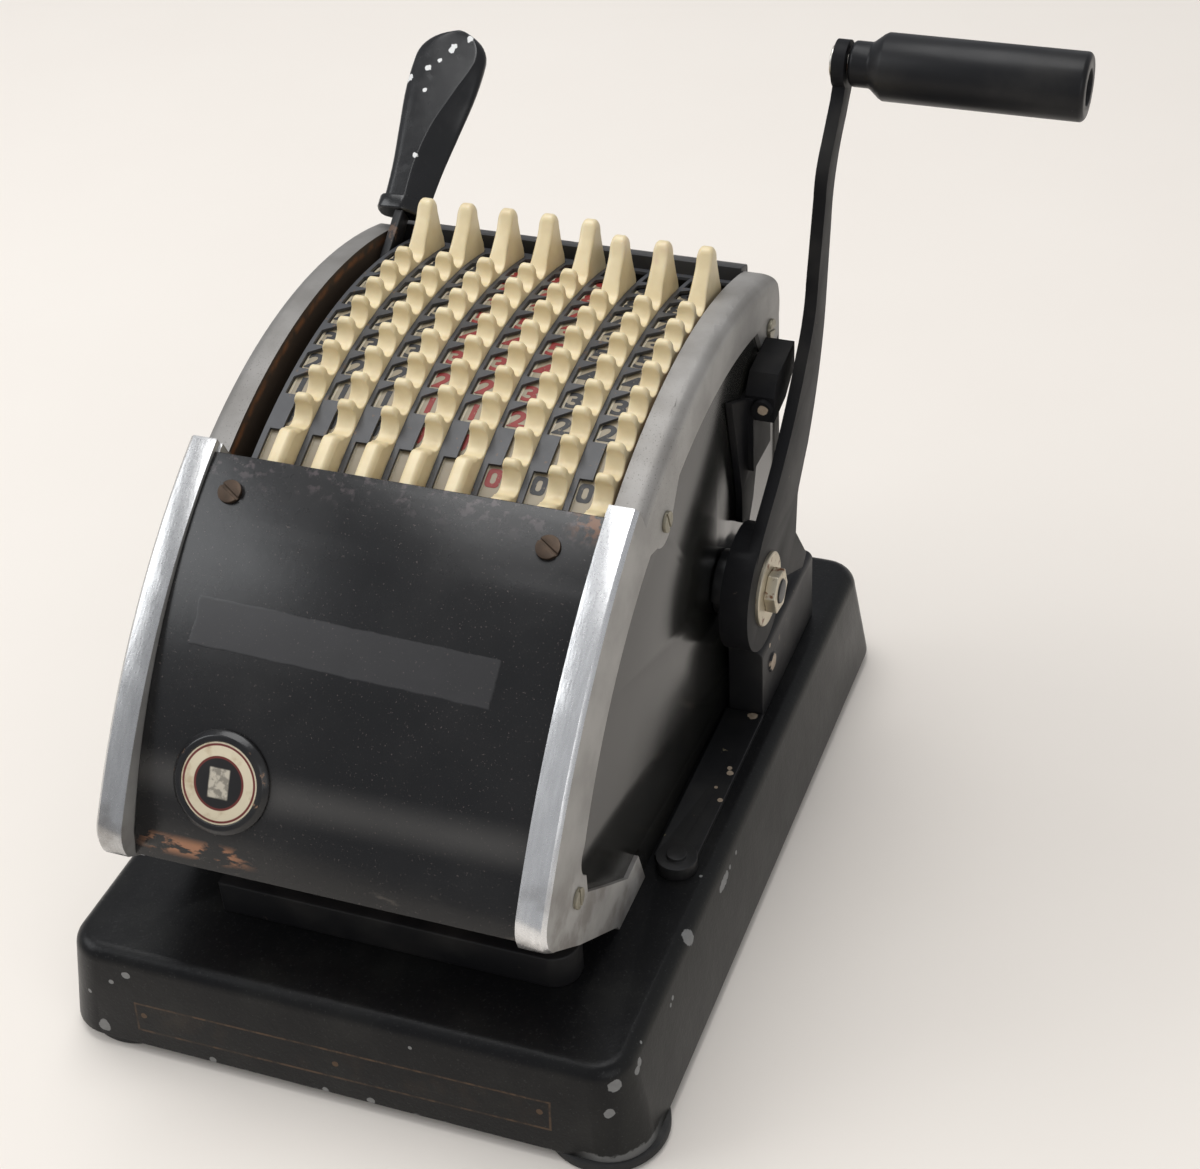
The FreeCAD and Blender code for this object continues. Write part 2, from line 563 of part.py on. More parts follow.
# ---------------------------------------------------------------- badge and screws
def make_bezel():
    ring = radial_pin(BEZEL_R, COVER_R - BEZEL_T, COVER_R + BEZEL_T, BADGE_X, BADGE_PHI)
    edge = [e for e in ring.Edges if radius_range(e)[0] > COVER_R + 1]
    ring = ring.makeChamfer(BEZEL_BEVEL, edge)
    ring = ring.cut(radial_pin(BADGE_R, COVER_R + BADGE_SINK, COVER_R + 2 * BEZEL_T, BADGE_X, BADGE_PHI))
    return ring.cut(rod(COVER_R, -FRAME_X0, FRAME_X0, PIVOT_Y, PIVOT_Z))


def make_badge():
    return radial_pin(BADGE_R - FIT, COVER_R + BADGE_SINK, COVER_R + BADGE_SINK + BADGE_T, BADGE_X, BADGE_PHI)


def slotted_head(r, t, width):
    """Screw head along +X from x = 0 with a slot across it."""
    head = Part.makeCylinder(r, t, V(0, 0, 0), X_AXIS)
    return head.cut(box(t * 0.45, t + 1, -width / 2, width / 2, -r - 1, r + 1))


def make_screws():
    screws = []
    for x in COVER_SCREW_X:
        head = slotted_head(COVER_SCREW_R, SCREW_HEAD_T, SCREW_SLOT)
        a = math.radians(SCREW_PHI)
        head.Placement = FreeCAD.Placement(yz(polar(COVER_R, SCREW_PHI), x),
                                           FreeCAD.Rotation(X_AXIS, V(0, -math.cos(a), math.sin(a))))
        screws.append(head)
    for y, z, slot_turn in FRAME_SCREWS:
        head = slotted_head(FRAME_SCREW_R, SCREW_HEAD_T, SCREW_SLOT)
        head.rotate(V(0, 0, 0), X_AXIS, slot_turn)
        head.translate(V(FRAME_X1, y, z))
        screws.append(head)
        screws.append(mirrored(head))
    return Part.makeCompound(screws)


# ---------------------------------------------------------------- key racks
def rack_profile():
    """Side view of the finger ridge: tab, hooks with round scoops between them, and the fin."""
    def along(steps, r, mm=0.0):
        return polar(r, EDGE_PHI + steps * STEP + math.degrees(mm / SCOOP_R))
    lip = HOOK_R - HOOK_ROUND
    parts = [polar(RIDGE_R0, RACK_FRONT), polar(HOOK_R - 1.2, RACK_FRONT), polar(HOOK_R, RACK_FRONT + 0.5),
             along(0.4, HOOK_R), along(1, HOOK_R, -2.2), along(1, lip - 0.6)]
    for n in range(2, DIGITS):
        parts += scoop(n, DIGITS)
        for k in range(5):
            a = math.pi * k / 4
            parts.append(along(n, lip + HOOK_ROUND * math.sin(a), -HOOK_ROUND * math.cos(a)))
    parts += scoop(DIGITS, DIGITS - 2)
    root = FIN_LEAN * 2.4
    parts += [along(DIGITS, FIN_R - 3, root), (along(DIGITS, FIN_R, root + 2.2), along(DIGITS, FIN_R - 3, root + 4.4)),
              polar(SCOOP_R + 1, RACK_REAR), polar(RIDGE_R0, RACK_REAR)]
    flats = DIGITS + 1
    return parts + [polar(RIDGE_R0, RACK_REAR + (RACK_FRONT - RACK_REAR) * k / flats) for k in range(1, flats)]


def scoop(n, flats):
    """Round hollow for a fingertip in front of hook n, as chords of one circle."""
    lip = HOOK_R - HOOK_ROUND
    chord = math.radians(STEP) * SCOOP_R - 2 * HOOK_ROUND
    depth = lip - SCOOP_R
    r = (chord ** 2 / 4 + depth ** 2) / (2 * depth)
    half_turn = 180 - math.degrees(math.asin(chord / 2 / r)) if depth > r else math.degrees(math.asin(chord / 2 / r))
    middle = EDGE_PHI + (n - 0.5) * STEP
    points = []
    for k in range(1, flats):
        a = math.radians(half_turn * (2 * k / DIGITS - 1))
        points.append(polar(SCOOP_R + r - r * math.cos(a), middle + math.degrees(r * math.sin(a) / SCOOP_R)))
    return points


def rack_web_profile():
    """Web under the ridge with one internal tooth for each digit step."""
    root_r = RACK_PITCH_R + DEDENDUM * MODULE
    first = MESH_PHI - STEP / 2
    parts = [polar(RIDGE_R0, RACK_FRONT), polar(root_r, RACK_FRONT)]
    for i in range((DIGITS + TOOTH_ROOM)):
        parts += tooth_points((PIVOT_Y, PIVOT_Z), RACK_PITCH_R, RACK_TEETH, first + i * STEP, True)
    parts += [polar(root_r, RACK_REAR), polar(RIDGE_R0, RACK_REAR)]
    flats = DIGITS + 1
    return parts + [polar(RIDGE_R0, RACK_REAR + (RACK_FRONT - RACK_REAR) * k / flats) for k in range(1, flats)]


def rounded_top(r, phi0, phi1):
    """Ring about the rack pivot whose top edges are broken, to trim the ridge's top at r."""
    half = RIDGE_W / 2
    right = [(half - side, r - down) for side, down in LIP_FLATS]
    section = [(half, RIDGE_R0 - 1)] + right + [(-x, y) for x, y in reversed(right)] + [(-half, RIDGE_R0 - 1)]
    points = [yz(polar(y, phi0), x) for x, y in section]
    face = Part.Face(Part.makePolygon(points + points[:1]))
    return face.revolve(V(0, PIVOT_Y, PIVOT_Z), X_AXIS, phi0 - phi1)


def make_ridge():
    """Finger ridge about x = 0, its hooks and its fin rounded across."""
    blank = slab(rack_profile(), -RIDGE_W / 2, RIDGE_W / 2)
    split = EDGE_PHI + (DIGITS - 0.5) * STEP
    return fuse([blank.common(rounded_top(HOOK_R, RACK_FRONT - 1, split)),
                 blank.common(rounded_top(FIN_R, split, RACK_REAR + 1))])


def make_rack(i, blank_ridge):
    """One key rack, built in its blank position and moved to where it rests."""
    x = column_x(i)
    ridge = blank_ridge.copy()
    ridge.translate(V(x, 0, 0))
    flange = stepped_sector(FLANGE_R0, FLANGE_R1, RACK_FRONT, EDGE_PHI + (DIGITS + 1) * STEP,
                            x - RIDGE_W / 2 - FLANGE_W, x)
    web = slab(rack_web_profile(), x - WEB_W / 2, x + WEB_W / 2)
    link = slab([polar(RIDGE_R0, RACK_REAR), polar(RIDGE_R0, ARM_PHI - 6), polar(RIDGE_R0 - 7, ARM_PHI - 6),
                 polar(RIDGE_R0 - 7, RACK_REAR)], x - WEB_W / 2, x + ARM_X1)
    arm = slab([polar(RIDGE_R0, RACK_REAR), polar(RIDGE_R0 - 8, RACK_REAR), polar(150, 107.2),
                polar(96, 108.6), polar(4, ARM_PHI + 90), polar(4, ARM_PHI - 90), polar(96, 104.4),
                polar(140, 103.4), polar(RIDGE_R0 - 8, ARM_PHI - 8), polar(RIDGE_R0, ARM_PHI - 8)],
               x + ARM_X0, x + ARM_X1)
    hub = hexagon(PIVOT_HUB_R, x - HUB_HALF_W, x + HUB_HALF_W, PIVOT_Y, PIVOT_Z)
    rack = fuse([ridge, flange, web, link, arm, hub])
    rack = rack.cut(rod(PIVOT_R + FIT, x - HUB_HALF_W - 1, x + HUB_HALF_W + 1, PIVOT_Y, PIVOT_Z))
    return turn(rack, STEP) if i >= COLUMNS - SET_COLUMNS else rack


# ---------------------------------------------------------------- idlers and type wheels
def make_idler(i):
    """Part gear between a rack and its type wheel, with a hub as wide as the column."""
    x = column_x(i)
    step = 360.0 / IDLER_TEETH
    turns = round((MESH_PHI - WHEEL_PHI) / step)
    first = MESH_PHI - (turns + 1) * step
    disc = gear(IDLER, IDLER_TEETH, first, IDLER_COUNT, x + IDLER_X0, x + IDLER_X1)
    hub = hexagon(GEAR_HUB_R, x + IDLER_X0, min(x + IDLER_X0 + PITCH, FRAME_X0) - GAP, *IDLER)
    disc = fuse([disc, hub]).cut(rod(SHAFT_R + FIT, x - PITCH, x + PITCH, *IDLER))
    return turn(disc, step, *IDLER) if i >= COLUMNS - SET_COLUMNS else disc


def make_type_wheel(i):
    """Pinion, hub and ten raised type faces; a blank sector stands over the paper at rest."""
    x = column_x(i)
    step = 360.0 / WHEEL_TEETH
    core_r = TYPE_R - TYPE_FACE_T
    pinion = gear(TYPE_AXIS, WHEEL_TEETH, wheel_first(WHEEL_PHI + 180, step), WHEEL_TEETH,
                  x + WHEEL_X1, x + PINION_X1)
    rim = []
    for k in range(WHEEL_TEETH):
        a = -90 + (k - 1) * step
        if k < DIGITS:
            rim += [about(TYPE_AXIS, core_r, a - TYPE_FACE_HALF - 1.5), about(TYPE_AXIS, TYPE_R, a - TYPE_FACE_HALF),
                    about(TYPE_AXIS, TYPE_R, a + TYPE_FACE_HALF), about(TYPE_AXIS, core_r, a + TYPE_FACE_HALF + 1.5)]
        else:
            rim.append(about(TYPE_AXIS, core_r, a))
    body = slab(rim, x + WHEEL_X1 - WHEEL_W, x + WHEEL_X1)
    hub = hexagon(GEAR_HUB_R, x + PINION_X1 - PITCH + GAP, x + PINION_X1, *TYPE_AXIS)
    wheel = fuse([body, pinion, hub]).cut(rod(SHAFT_R + FIT, x - 2 * PITCH, x + PITCH, *TYPE_AXIS))
    return turn(wheel, -step, *TYPE_AXIS) if i >= COLUMNS - SET_COLUMNS else wheel


def wheel_first(mesh, step):
    """The pinion has a gap where the idler has a tooth."""
    idler_step = 360.0 / IDLER_TEETH
    turns = round((MESH_PHI - WHEEL_PHI) / idler_step)
    offset = (MESH_PHI - turns * idler_step) - WHEEL_PHI
    return mesh + step / 2 - offset * IDLER_TEETH / WHEEL_TEETH


def make_pivot_shaft():
    end = PIVOT_LUG_X + LUG_T
    return rod(PIVOT_R, -end, end, PIVOT_Y, PIVOT_Z)


def cross_shaft(y, z):
    return rod(SHAFT_R, -SHAFT_END, SHAFT_END, y, z)


# ---------------------------------------------------------------- crank
def arm_outline():
    """Side view of the crank arm, from the hub up to the grip."""
    return [(HUB_Y - 10, HUB_Z + 17), (34.0, 117.0), (42.2, 123.0), ((56.5, 135.6), (73.5, 159.5)),
            ((78.6, 170.0), (79.6, 182.0)), (81.0, 211.0), ((81.6, 219.5), (85.5, 226.5)),
            (GRIP_Y - 5.0, GRIP_Z - 5.6), ((GRIP_Y - 0.2, GRIP_Z + 7.0), (GRIP_Y + 5.8, GRIP_Z - 3.5)),
            (98.3, 230.0), ((91.0, 215.0), (90.2, 200.0)), (91.8, 172.0), ((90.6, 147.0), (82.8, 120.9)),
            (73.5, 106.0), (71.5, 92.0), (84.5, 74.5), (80.0, 71.5), (60.0, 82.0), (HUB_Y, HUB_Z - 12)]


def make_crank_arm():
    bar = slab(arm_outline(), HUB_X0 - 5, ARM_TOP_X + 5)
    knee_z, top_z, z1 = HUB_Z + WASHER_R + 1, GRIP_Z - 9, GRIP_Z + 10
    outer = [(HUB_X1, 50), (HUB_X1, knee_z), (ARM_TOP_X, top_z), (ARM_TOP_X, z1)]
    points = outer + [(x - ARM_T, z) for x, z in reversed(outer)]
    wire = Part.makePolygon([V(x, 0, z) for x, z in points + points[:1]])
    layer = Part.Face(wire).extrude(V(0, 140, 0))
    bar = bar.common(layer)
    hub = rod(HUB_R, HUB_X0, HUB_X1, HUB_Y, HUB_Z)
    arm = fuse([bar, hub])
    return cut(arm, [rod(CRANK_R + FIT, HUB_X0 - 1, HUB_X1 + 1, HUB_Y, HUB_Z),
                     rod(SPINDLE_R + FIT, HUB_X0, ARM_TOP_X + 9, GRIP_Y, GRIP_Z)])


def make_crank_shaft():
    """Shaft with the platen cam at its inner end; the cam's radius grows evenly with the turn."""
    shaft = rod(CRANK_R, FRAME_X0 + 0.4, HUB_X1, HUB_Y, HUB_Z)
    stud = rod(THREAD_R, HUB_X1, HUB_X1 + WASHER_T + NUT_T + 0.5, HUB_Y, HUB_Z)
    centre = (HUB_Y, HUB_Z)
    margin = 12.0
    low, high = -90 - margin, -90 + CRANK_SWING + margin
    points = []
    for k in range(9):
        phi = low + (high - low) * k / 8
        points.append(about(centre, CAM_R + CAM_RISE * (phi + 90) / CRANK_SWING, phi))
    points.append((about(centre, CAM_R, high + 100), points[0]))
    cam = slab(points, PUSH_X0 - 0.2, PUSH_X1 + 0.2)
    return fuse([shaft, stud, cam])


def make_return_spring():
    """Flat spiral spring behind the hub that brings the crank back."""
    inner = CRANK_R + 2 * GAP
    chains = [half_turns(inner), half_turns(inner + SPRING_T)]
    edges = []
    for chain in chains:
        last = chain[0]
        for through, end in chain[1:]:
            edges.append(Part.Arc(yz(last), yz(through), yz(end)).toShape())
            last = end
    edges.append(Part.LineSegment(yz(chains[0][0]), yz(chains[1][0])).toShape())
    edges.append(Part.LineSegment(yz(chains[0][-1][1]), yz(chains[1][-1][1])).toShape())
    face = Part.Face(Part.Wire(Part.__sortEdges__(edges)))
    face.translate(V(SPRING_X0, 0, 0))
    return face.extrude(V(SPRING_X1 - SPRING_X0, 0, 0))


def half_turns(r):
    """Spiral drawn as half circles that grow about the hub."""
    y, side = HUB_Y - r, -1
    chain = [(y, HUB_Z)]
    for _ in range(2 * SPRING_TURNS):
        far = y - side * 2 * r
        chain.append((((y + far) / 2, HUB_Z + side * r), (far, HUB_Z)))
        y = far
        r += SPRING_GROW / 2
        side = -side
    return chain


def make_washer():
    disc = rod(WASHER_R, HUB_X1, HUB_X1 + WASHER_T, HUB_Y, HUB_Z)
    return disc.cut(rod(THREAD_R + FIT, HUB_X1 - 1, HUB_X1 + 3, HUB_Y, HUB_Z))


def make_nut():
    x0 = HUB_X1 + WASHER_T
    corner = 7.5
    points = [about((HUB_Y, HUB_Z), corner, 60 * k + 10) for k in range(6)]
    nut = slab(points, x0, x0 + NUT_T)
    return nut.cut(rod(THREAD_R + FIT, x0 - 1, x0 + NUT_T + 1, HUB_Y, HUB_Z))


def make_spindle():
    """Rivet-ended pin that carries the grip."""
    x0 = ARM_TOP_X - ARM_T
    head = rod(SPINDLE_R + 1.5, x0 - 1.2, x0, GRIP_Y, GRIP_Z)
    pin = rod(SPINDLE_R, x0, GRIP_X1 - 8, GRIP_Y, GRIP_Z)
    cap = rod(SPINDLE_R + 1.2, GRIP_X1 - 8, GRIP_X1 - 6, GRIP_Y, GRIP_Z)
    return fuse([head, pin, cap])


def make_grip():
    """Moulded grip, necked towards the arm, bored for the spindle and recessed at its end."""
    neck_r = 6.8
    profile = [(GRIP_X0, SPINDLE_R + FIT), (GRIP_X0, neck_r - 1), (GRIP_X0 + 1, neck_r), (99.9, neck_r),
               (103.2, GRIP_R - 0.6), (104.4, GRIP_R), (GRIP_X1 - 1, GRIP_R), (GRIP_X1, GRIP_R - 1),
               (GRIP_X1, SPINDLE_R + 1.8), (GRIP_X1 - 8 - GAP, SPINDLE_R + 1.8),
               (GRIP_X1 - 8 - GAP, SPINDLE_R + FIT)]
    wire = Part.makePolygon([V(x, GRIP_Y, GRIP_Z + r) for x, r in profile + profile[:1]])
    return Part.Face(wire).revolve(V(0, GRIP_Y, GRIP_Z), X_AXIS, 360)


def make_stop_bracket():
    """Bracket on the head that the arm rests beside, with its screw and a strip down to the hub."""
    x0 = FRAME_X1 - RECESS_T + PANEL_T
    strip = slab([(60, 149), (44, 157), (50, 131), (53, 118), (53, 106), (60, 101), (65, 108), (70, 121), (79, 122),
                  (79, 149)], x0 + GAP, x0 + 2.5)
    foot = box(x0, FRAME_X1 + 3, 60, 79, 122, 149)
    bar = slab([(61, 141), (61, 150), (66, 156), (84, 158), (84, 149), (74, 143)], FRAME_X1 + FIT,
               HUB_X1 - ARM_T - GAP)
    head = Part.makeCylinder(FRAME_SCREW_R, 2, V(77.0, 59.0, 146.0), Y_AXIS)
    return fuse([foot, strip, bar, head])


def make_bearing_block():
    """Cast block beside the head under the hub, with a brass rivet's boss."""
    block = box(72.0, 84.0, 36.0, 96.0, BASE_TOP, 67.0)
    edges = [e for e in block.Edges if e.BoundBox.ZMin > 66.9 and e.BoundBox.XMin > 83.9]
    block = block.makeFillet(3.0, edges)
    return fuse([block, rod(3.4, 83, 84.8, 46.0, 55.8)])


def make_side_cover():
    """Strip along the head's foot with a raised boss and its screw."""
    strip = box(FRAME_X1 + 0.2, 84.3, -40.0, 35.5, BASE_TOP, BASE_TOP + 2.2)
    boss = post(6.6, BASE_TOP, BASE_TOP + 4.6, 79.0, -40.5)
    screw = post(3.2, BASE_TOP + 4, BASE_TOP + 5.8, 79.0, -40.5)
    return fuse([strip, boss, screw])


# ---------------------------------------------------------------- clearing lever
def make_lever():
    """Flat lever on the rack pivot, bent back to carry the paddle."""
    elbow = polar(161.4, LEVER_PHI)
    a = math.radians(PADDLE_LEAN)
    run, side = (math.cos(a), math.sin(a)), (-math.sin(a), math.cos(a))

    def off(p, s, n):
        return (p[0] + run[0] * s + side[0] * n, p[1] + run[1] * s + side[1] * n)
    arm = slab([polar(PIVOT_HUB_R - 1, LEVER_PHI + 90), polar(PIVOT_HUB_R - 1, LEVER_PHI - 90),
                polar(158, LEVER_PHI - 1.2), off(elbow, 0, LEVER_HALF), off(LEVER_TIP, LEVER_TONGUE, LEVER_HALF),
                off(LEVER_TIP, LEVER_TONGUE, -LEVER_HALF), off(LEVER_TIP, -1, -LEVER_HALF),
                off(elbow, 0, -LEVER_HALF - 2), polar(155, LEVER_PHI + 1.2)],
               LEVER_X - LEVER_T / 2, LEVER_X + LEVER_T / 2)
    hub = hexagon(PIVOT_HUB_R, LEVER_X - LEVER_T, LEVER_X + LEVER_T, PIVOT_Y, PIVOT_Z)
    bore = rod(PIVOT_R + FIT, LEVER_X - 2 * LEVER_T, LEVER_X + 2 * LEVER_T, PIVOT_Y, PIVOT_Z)
    return fuse([arm, hub]).cut(bore)


def paddle_point(u, n, s):
    a = math.radians(PADDLE_LEAN)
    return V(LEVER_X + u, LEVER_TIP[0] + s * math.cos(a) - n * math.sin(a),
             LEVER_TIP[1] + s * math.sin(a) + n * math.cos(a))


def paddle_section(s, left, ridge, right, drop, back, out=0.0):
    corners = [(left - out, -back - out), (left - out, out - 0.8), (ridge, out), (right + out, -drop),
               (right + out - 0.6, -back - out)]
    points = [paddle_point(u, n, s) for u, n in corners]
    return Part.makePolygon(points + points[:1])


def make_paddle():
    """Moulded handle, spoon-like at its end, with a collar at its foot."""
    end = (PADDLE_END, PADDLE[-1][1] + 3.0, PADDLE[-1][2] - 2.0, PADDLE[-1][3] - 3.0) + PADDLE[-1][4:]
    grip = Part.makeLoft([paddle_section(*row) for row in PADDLE + (end,)], True, True)
    foot = PADDLE[0][1:]
    collar = Part.makeLoft([paddle_section(0.0, *foot, out=COLLAR_OUT * 0.6),
                            paddle_section(1.0, *foot, out=COLLAR_OUT),
                            paddle_section(COLLAR_S, *foot, out=COLLAR_OUT),
                            paddle_section(COLLAR_S + 0.6, *foot, out=0.3)], True, True)
    paddle = fuse([grip, collar])
    n, end = LEVER_HALF + 0.1, LEVER_TONGUE + 0.1
    socket = [paddle_point(-LEVER_T / 2 - 0.1, v, s) for v, s in ((-n, -5), (n, -5), (n, end), (-n, end))]
    return paddle.cut(Part.Face(Part.makePolygon(socket + socket[:1])).extrude(V(LEVER_T + 0.2, 0, 0)))


# ---------------------------------------------------------------- the whole machine
def build():
    nodes = {
        "base_casting": make_base(), "base_bottom_plate": make_bottom_plate(), "rubber_feet": make_feet(),
        "foot_screws": make_foot_screws(), "paper_table": make_table(), "platen": make_platen(),
        "platen_rocker": make_rocker(), "platen_push_rod": make_push_rod(),
        "right_head_frame": make_frame(True), "left_head_frame": mirrored(make_frame(False)),
        "right_side_panel": make_panel(True), "left_side_panel": mirrored(make_panel(False)),
        "front_cover": make_front_cover(), "throat_plate": make_throat_plate(),
        "number_masks": make_masks(), "rear_cross_bar": make_rear_bar(), "rear_cover": make_rear_cover(),
        "badge_bezel": make_bezel(), "badge": make_badge(),
        "slotted_screws": make_screws(), "rack_pivot_shaft": make_pivot_shaft(),
        "idler_shaft": cross_shaft(*IDLER), "type_shaft": cross_shaft(TYPE_Y, TYPE_Z),
        "crank_arm": make_crank_arm(), "crank_shaft": make_crank_shaft(),
        "crank_return_spring": make_return_spring(), "crank_washer": make_washer(), "crank_nut": make_nut(),
        "grip_spindle": make_spindle(), "crank_grip": make_grip(), "stop_bracket": make_stop_bracket(),
        "bearing_block": make_bearing_block(), "side_channel_cover": make_side_cover(),
        "clearing_lever": make_lever(), "clearing_lever_paddle": make_paddle(),
    }
    ridge = make_ridge()
    for i in range(COLUMNS):
        nodes["key_rack_%d" % (i + 1)] = make_rack(i, ridge)
        nodes["idler_gear_%d" % (i + 1)] = make_idler(i)
        nodes["type_wheel_%d" % (i + 1)] = make_type_wheel(i)
    return nodes


def origin_shift():
    """To the middle of the whole machine's box: base, grip, crept foot and paddle."""
    tip = paddle_point(0, -PADDLE[-1][-1], PADDLE_END).y
    front = foot_places()[-1][1] + FOOT_SLIP[1] - FOOT_R
    return V(-(GRIP_X1 - BASE_HALF_X) / 2, -(tip + front) / 2, 0)


os.makedirs("parts", exist_ok=True)
shift = origin_shift()
for name, shape in build().items():
    shape.translate(shift)
    shape.exportStep("parts/%s.step" % name)
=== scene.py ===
"""Looks for the desk cheque writer: rounded edges, worn paint and metal, digits, light and camera.

Metres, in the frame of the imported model: +Z up, the paper throat faces -Y, the crank is on +X.
"""
import json
import math

import bmesh
import bpy
from mathutils import Matrix, Vector

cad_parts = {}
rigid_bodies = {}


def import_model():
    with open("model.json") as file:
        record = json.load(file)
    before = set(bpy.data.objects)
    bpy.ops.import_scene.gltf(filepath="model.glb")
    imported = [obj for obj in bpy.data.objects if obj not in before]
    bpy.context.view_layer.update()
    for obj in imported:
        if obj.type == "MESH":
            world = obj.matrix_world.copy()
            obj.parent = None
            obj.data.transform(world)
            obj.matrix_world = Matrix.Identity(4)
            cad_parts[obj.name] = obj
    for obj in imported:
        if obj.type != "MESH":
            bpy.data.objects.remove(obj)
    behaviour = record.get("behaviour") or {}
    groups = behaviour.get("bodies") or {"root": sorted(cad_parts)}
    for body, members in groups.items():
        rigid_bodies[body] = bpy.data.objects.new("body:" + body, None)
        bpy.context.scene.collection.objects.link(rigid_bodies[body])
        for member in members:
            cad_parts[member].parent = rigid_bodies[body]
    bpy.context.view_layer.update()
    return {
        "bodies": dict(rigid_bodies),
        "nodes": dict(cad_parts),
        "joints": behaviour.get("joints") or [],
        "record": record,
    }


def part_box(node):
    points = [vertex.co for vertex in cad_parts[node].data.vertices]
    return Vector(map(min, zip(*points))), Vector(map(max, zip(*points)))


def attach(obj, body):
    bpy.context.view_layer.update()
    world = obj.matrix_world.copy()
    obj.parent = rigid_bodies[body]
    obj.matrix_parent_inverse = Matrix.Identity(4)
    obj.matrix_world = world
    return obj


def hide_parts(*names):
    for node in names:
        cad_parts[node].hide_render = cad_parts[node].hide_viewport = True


# ---------------------------------------------------------------- sizes, in metres and degrees
MM = 0.001
SHIFT = Vector((-33.45, -6.471058, 0)) * MM      # from the middle between the head frames to the row frame
PIVOT_Y, PIVOT_Z = 42.7 * MM + SHIFT.y, 11.3 * MM       # pivot line of the key racks
COLUMNS, PITCH, FIRST_X = 8, 14.2875 * MM, -43.5 * MM + SHIFT.x
STEP, EDGE_PHI = 360 / 99, 63.26
DIGIT_SHIFT = 0.92                               # digits from their hook, in steps
MASK_R, MASK_T, MASK_W, MASK_GAP = 167.9 * MM, 1.0 * MM, 7.8 * MM, 0.35 * MM
MASK_SPARE, WINDOW_W, RAIL_W = 1.9 * MM, 6.4 * MM, 1.9 * MM     # free beside a rack, window, left rail
WINDOW_LOW, WINDOW_HIGH, WINDOW_SLANT = -1.70, 0.64, 1.80       # degrees from a digit's middle
PAD_PHI, READING_PHI, BAR_PHI = (57.2, 59.8), 67.64, 106.1
SET_FROM = 6                                     # columns from here stand one step forward
RED_COLUMNS = (4, 5, 6)
DIGIT_WIDTH, DIGIT_H, DIGIT_X = 1.30, 6.1 * MM, -6.8 * MM        # width as a share of the plain font's own
RIDGE_R0, HOOK_R, SCOOP_R, FIN_R = 165.9 * MM, 176.4 * MM, 169.6 * MM, 186.4 * MM
RIDGE_HALF, LIP_R, SIDE_ROUND, TONGUE, TAPER = 3.05 * MM, 1.4 * MM, 0.35 * MM, 2.5 * MM, 0.5 * MM
RIDGE_X = -0.15 * MM                             # middle of a ridge from its rack's middle
TONGUE_FLAT = 0.42                               # share of the width that stays level across a lip
RACK_FRONT, RACK_REAR, LAST_HOOK = 59.9, 104.6, 10
FLANGE_R, FLANGE_T, FLANGE_W = 167.5 * MM, 1.2 * MM, 6.9 * MM
COVER_R, COVER_TOP_PHI, COVER_LIP_PHI = 178 * MM, 62.4, 22.3
CHEEK_PHI, RIM_R = 63.5, 171.9 * MM
FRAME_INNER_X = 61 * MM
WASHER_R = 12.4 * MM
LEVER_X, LEVER_TIP, TONGUE_SINK = -57.8, (88.5, 184.1), 3.1 * MM
PADDLE_LEAN, PADDLE_ROUND, PADDLE_END = 36.0, 57.0, 68.3  # rise of its axis, start and end of its round end, mm
PADDLE = (               # along the axis in mm: left, ridge, right, depth of the right edge, depth of the back
    (1.0, -7.6, 0.4, 7.9, 5.6, 6.5), (17.0, -8.4, 0.0, 8.9, 5.6, 6.8), (32.0, -10.3, 2.2, 11.0, 5.2, 6.8),
    (46.0, -11.9, 7.0, 13.4, 3.6, 6.2), (57.0, -11.9, 11.0, 14.2, 2.4, 5.6), (62.5, -10.9, 11.0, 13.6, 1.8, 5.0))
BADGE_X, BADGE_PHI, BADGE_R = -34.6 * MM + SHIFT.x, 31.33, 12.3 * MM

# the camera that took the view, worked out from the machine's own corners
CAMERA_AT = Vector((254.641, -514.629, 527.888)) * MM + SHIFT
CAMERA_RIGHT = Vector((0.93905589, 0.34034673, -0.04835434))
CAMERA_UP = Vector((-0.17833365, 0.60256126, 0.77789269))
LENS, SHIFT_U, SHIFT_V = 66.7547, -0.01103, 0.06674


def at(x, y, z):
    """Point of the row frame from millimetres about the middle between the head frames."""
    return Vector((x, y, z)) * MM + SHIFT


def polar(x, r, phi):
    """Point at r and phi about the racks' pivot; phi runs from -Y upwards."""
    a = math.radians(phi)
    return Vector((x, PIVOT_Y - r * math.cos(a), PIVOT_Z + r * math.sin(a)))


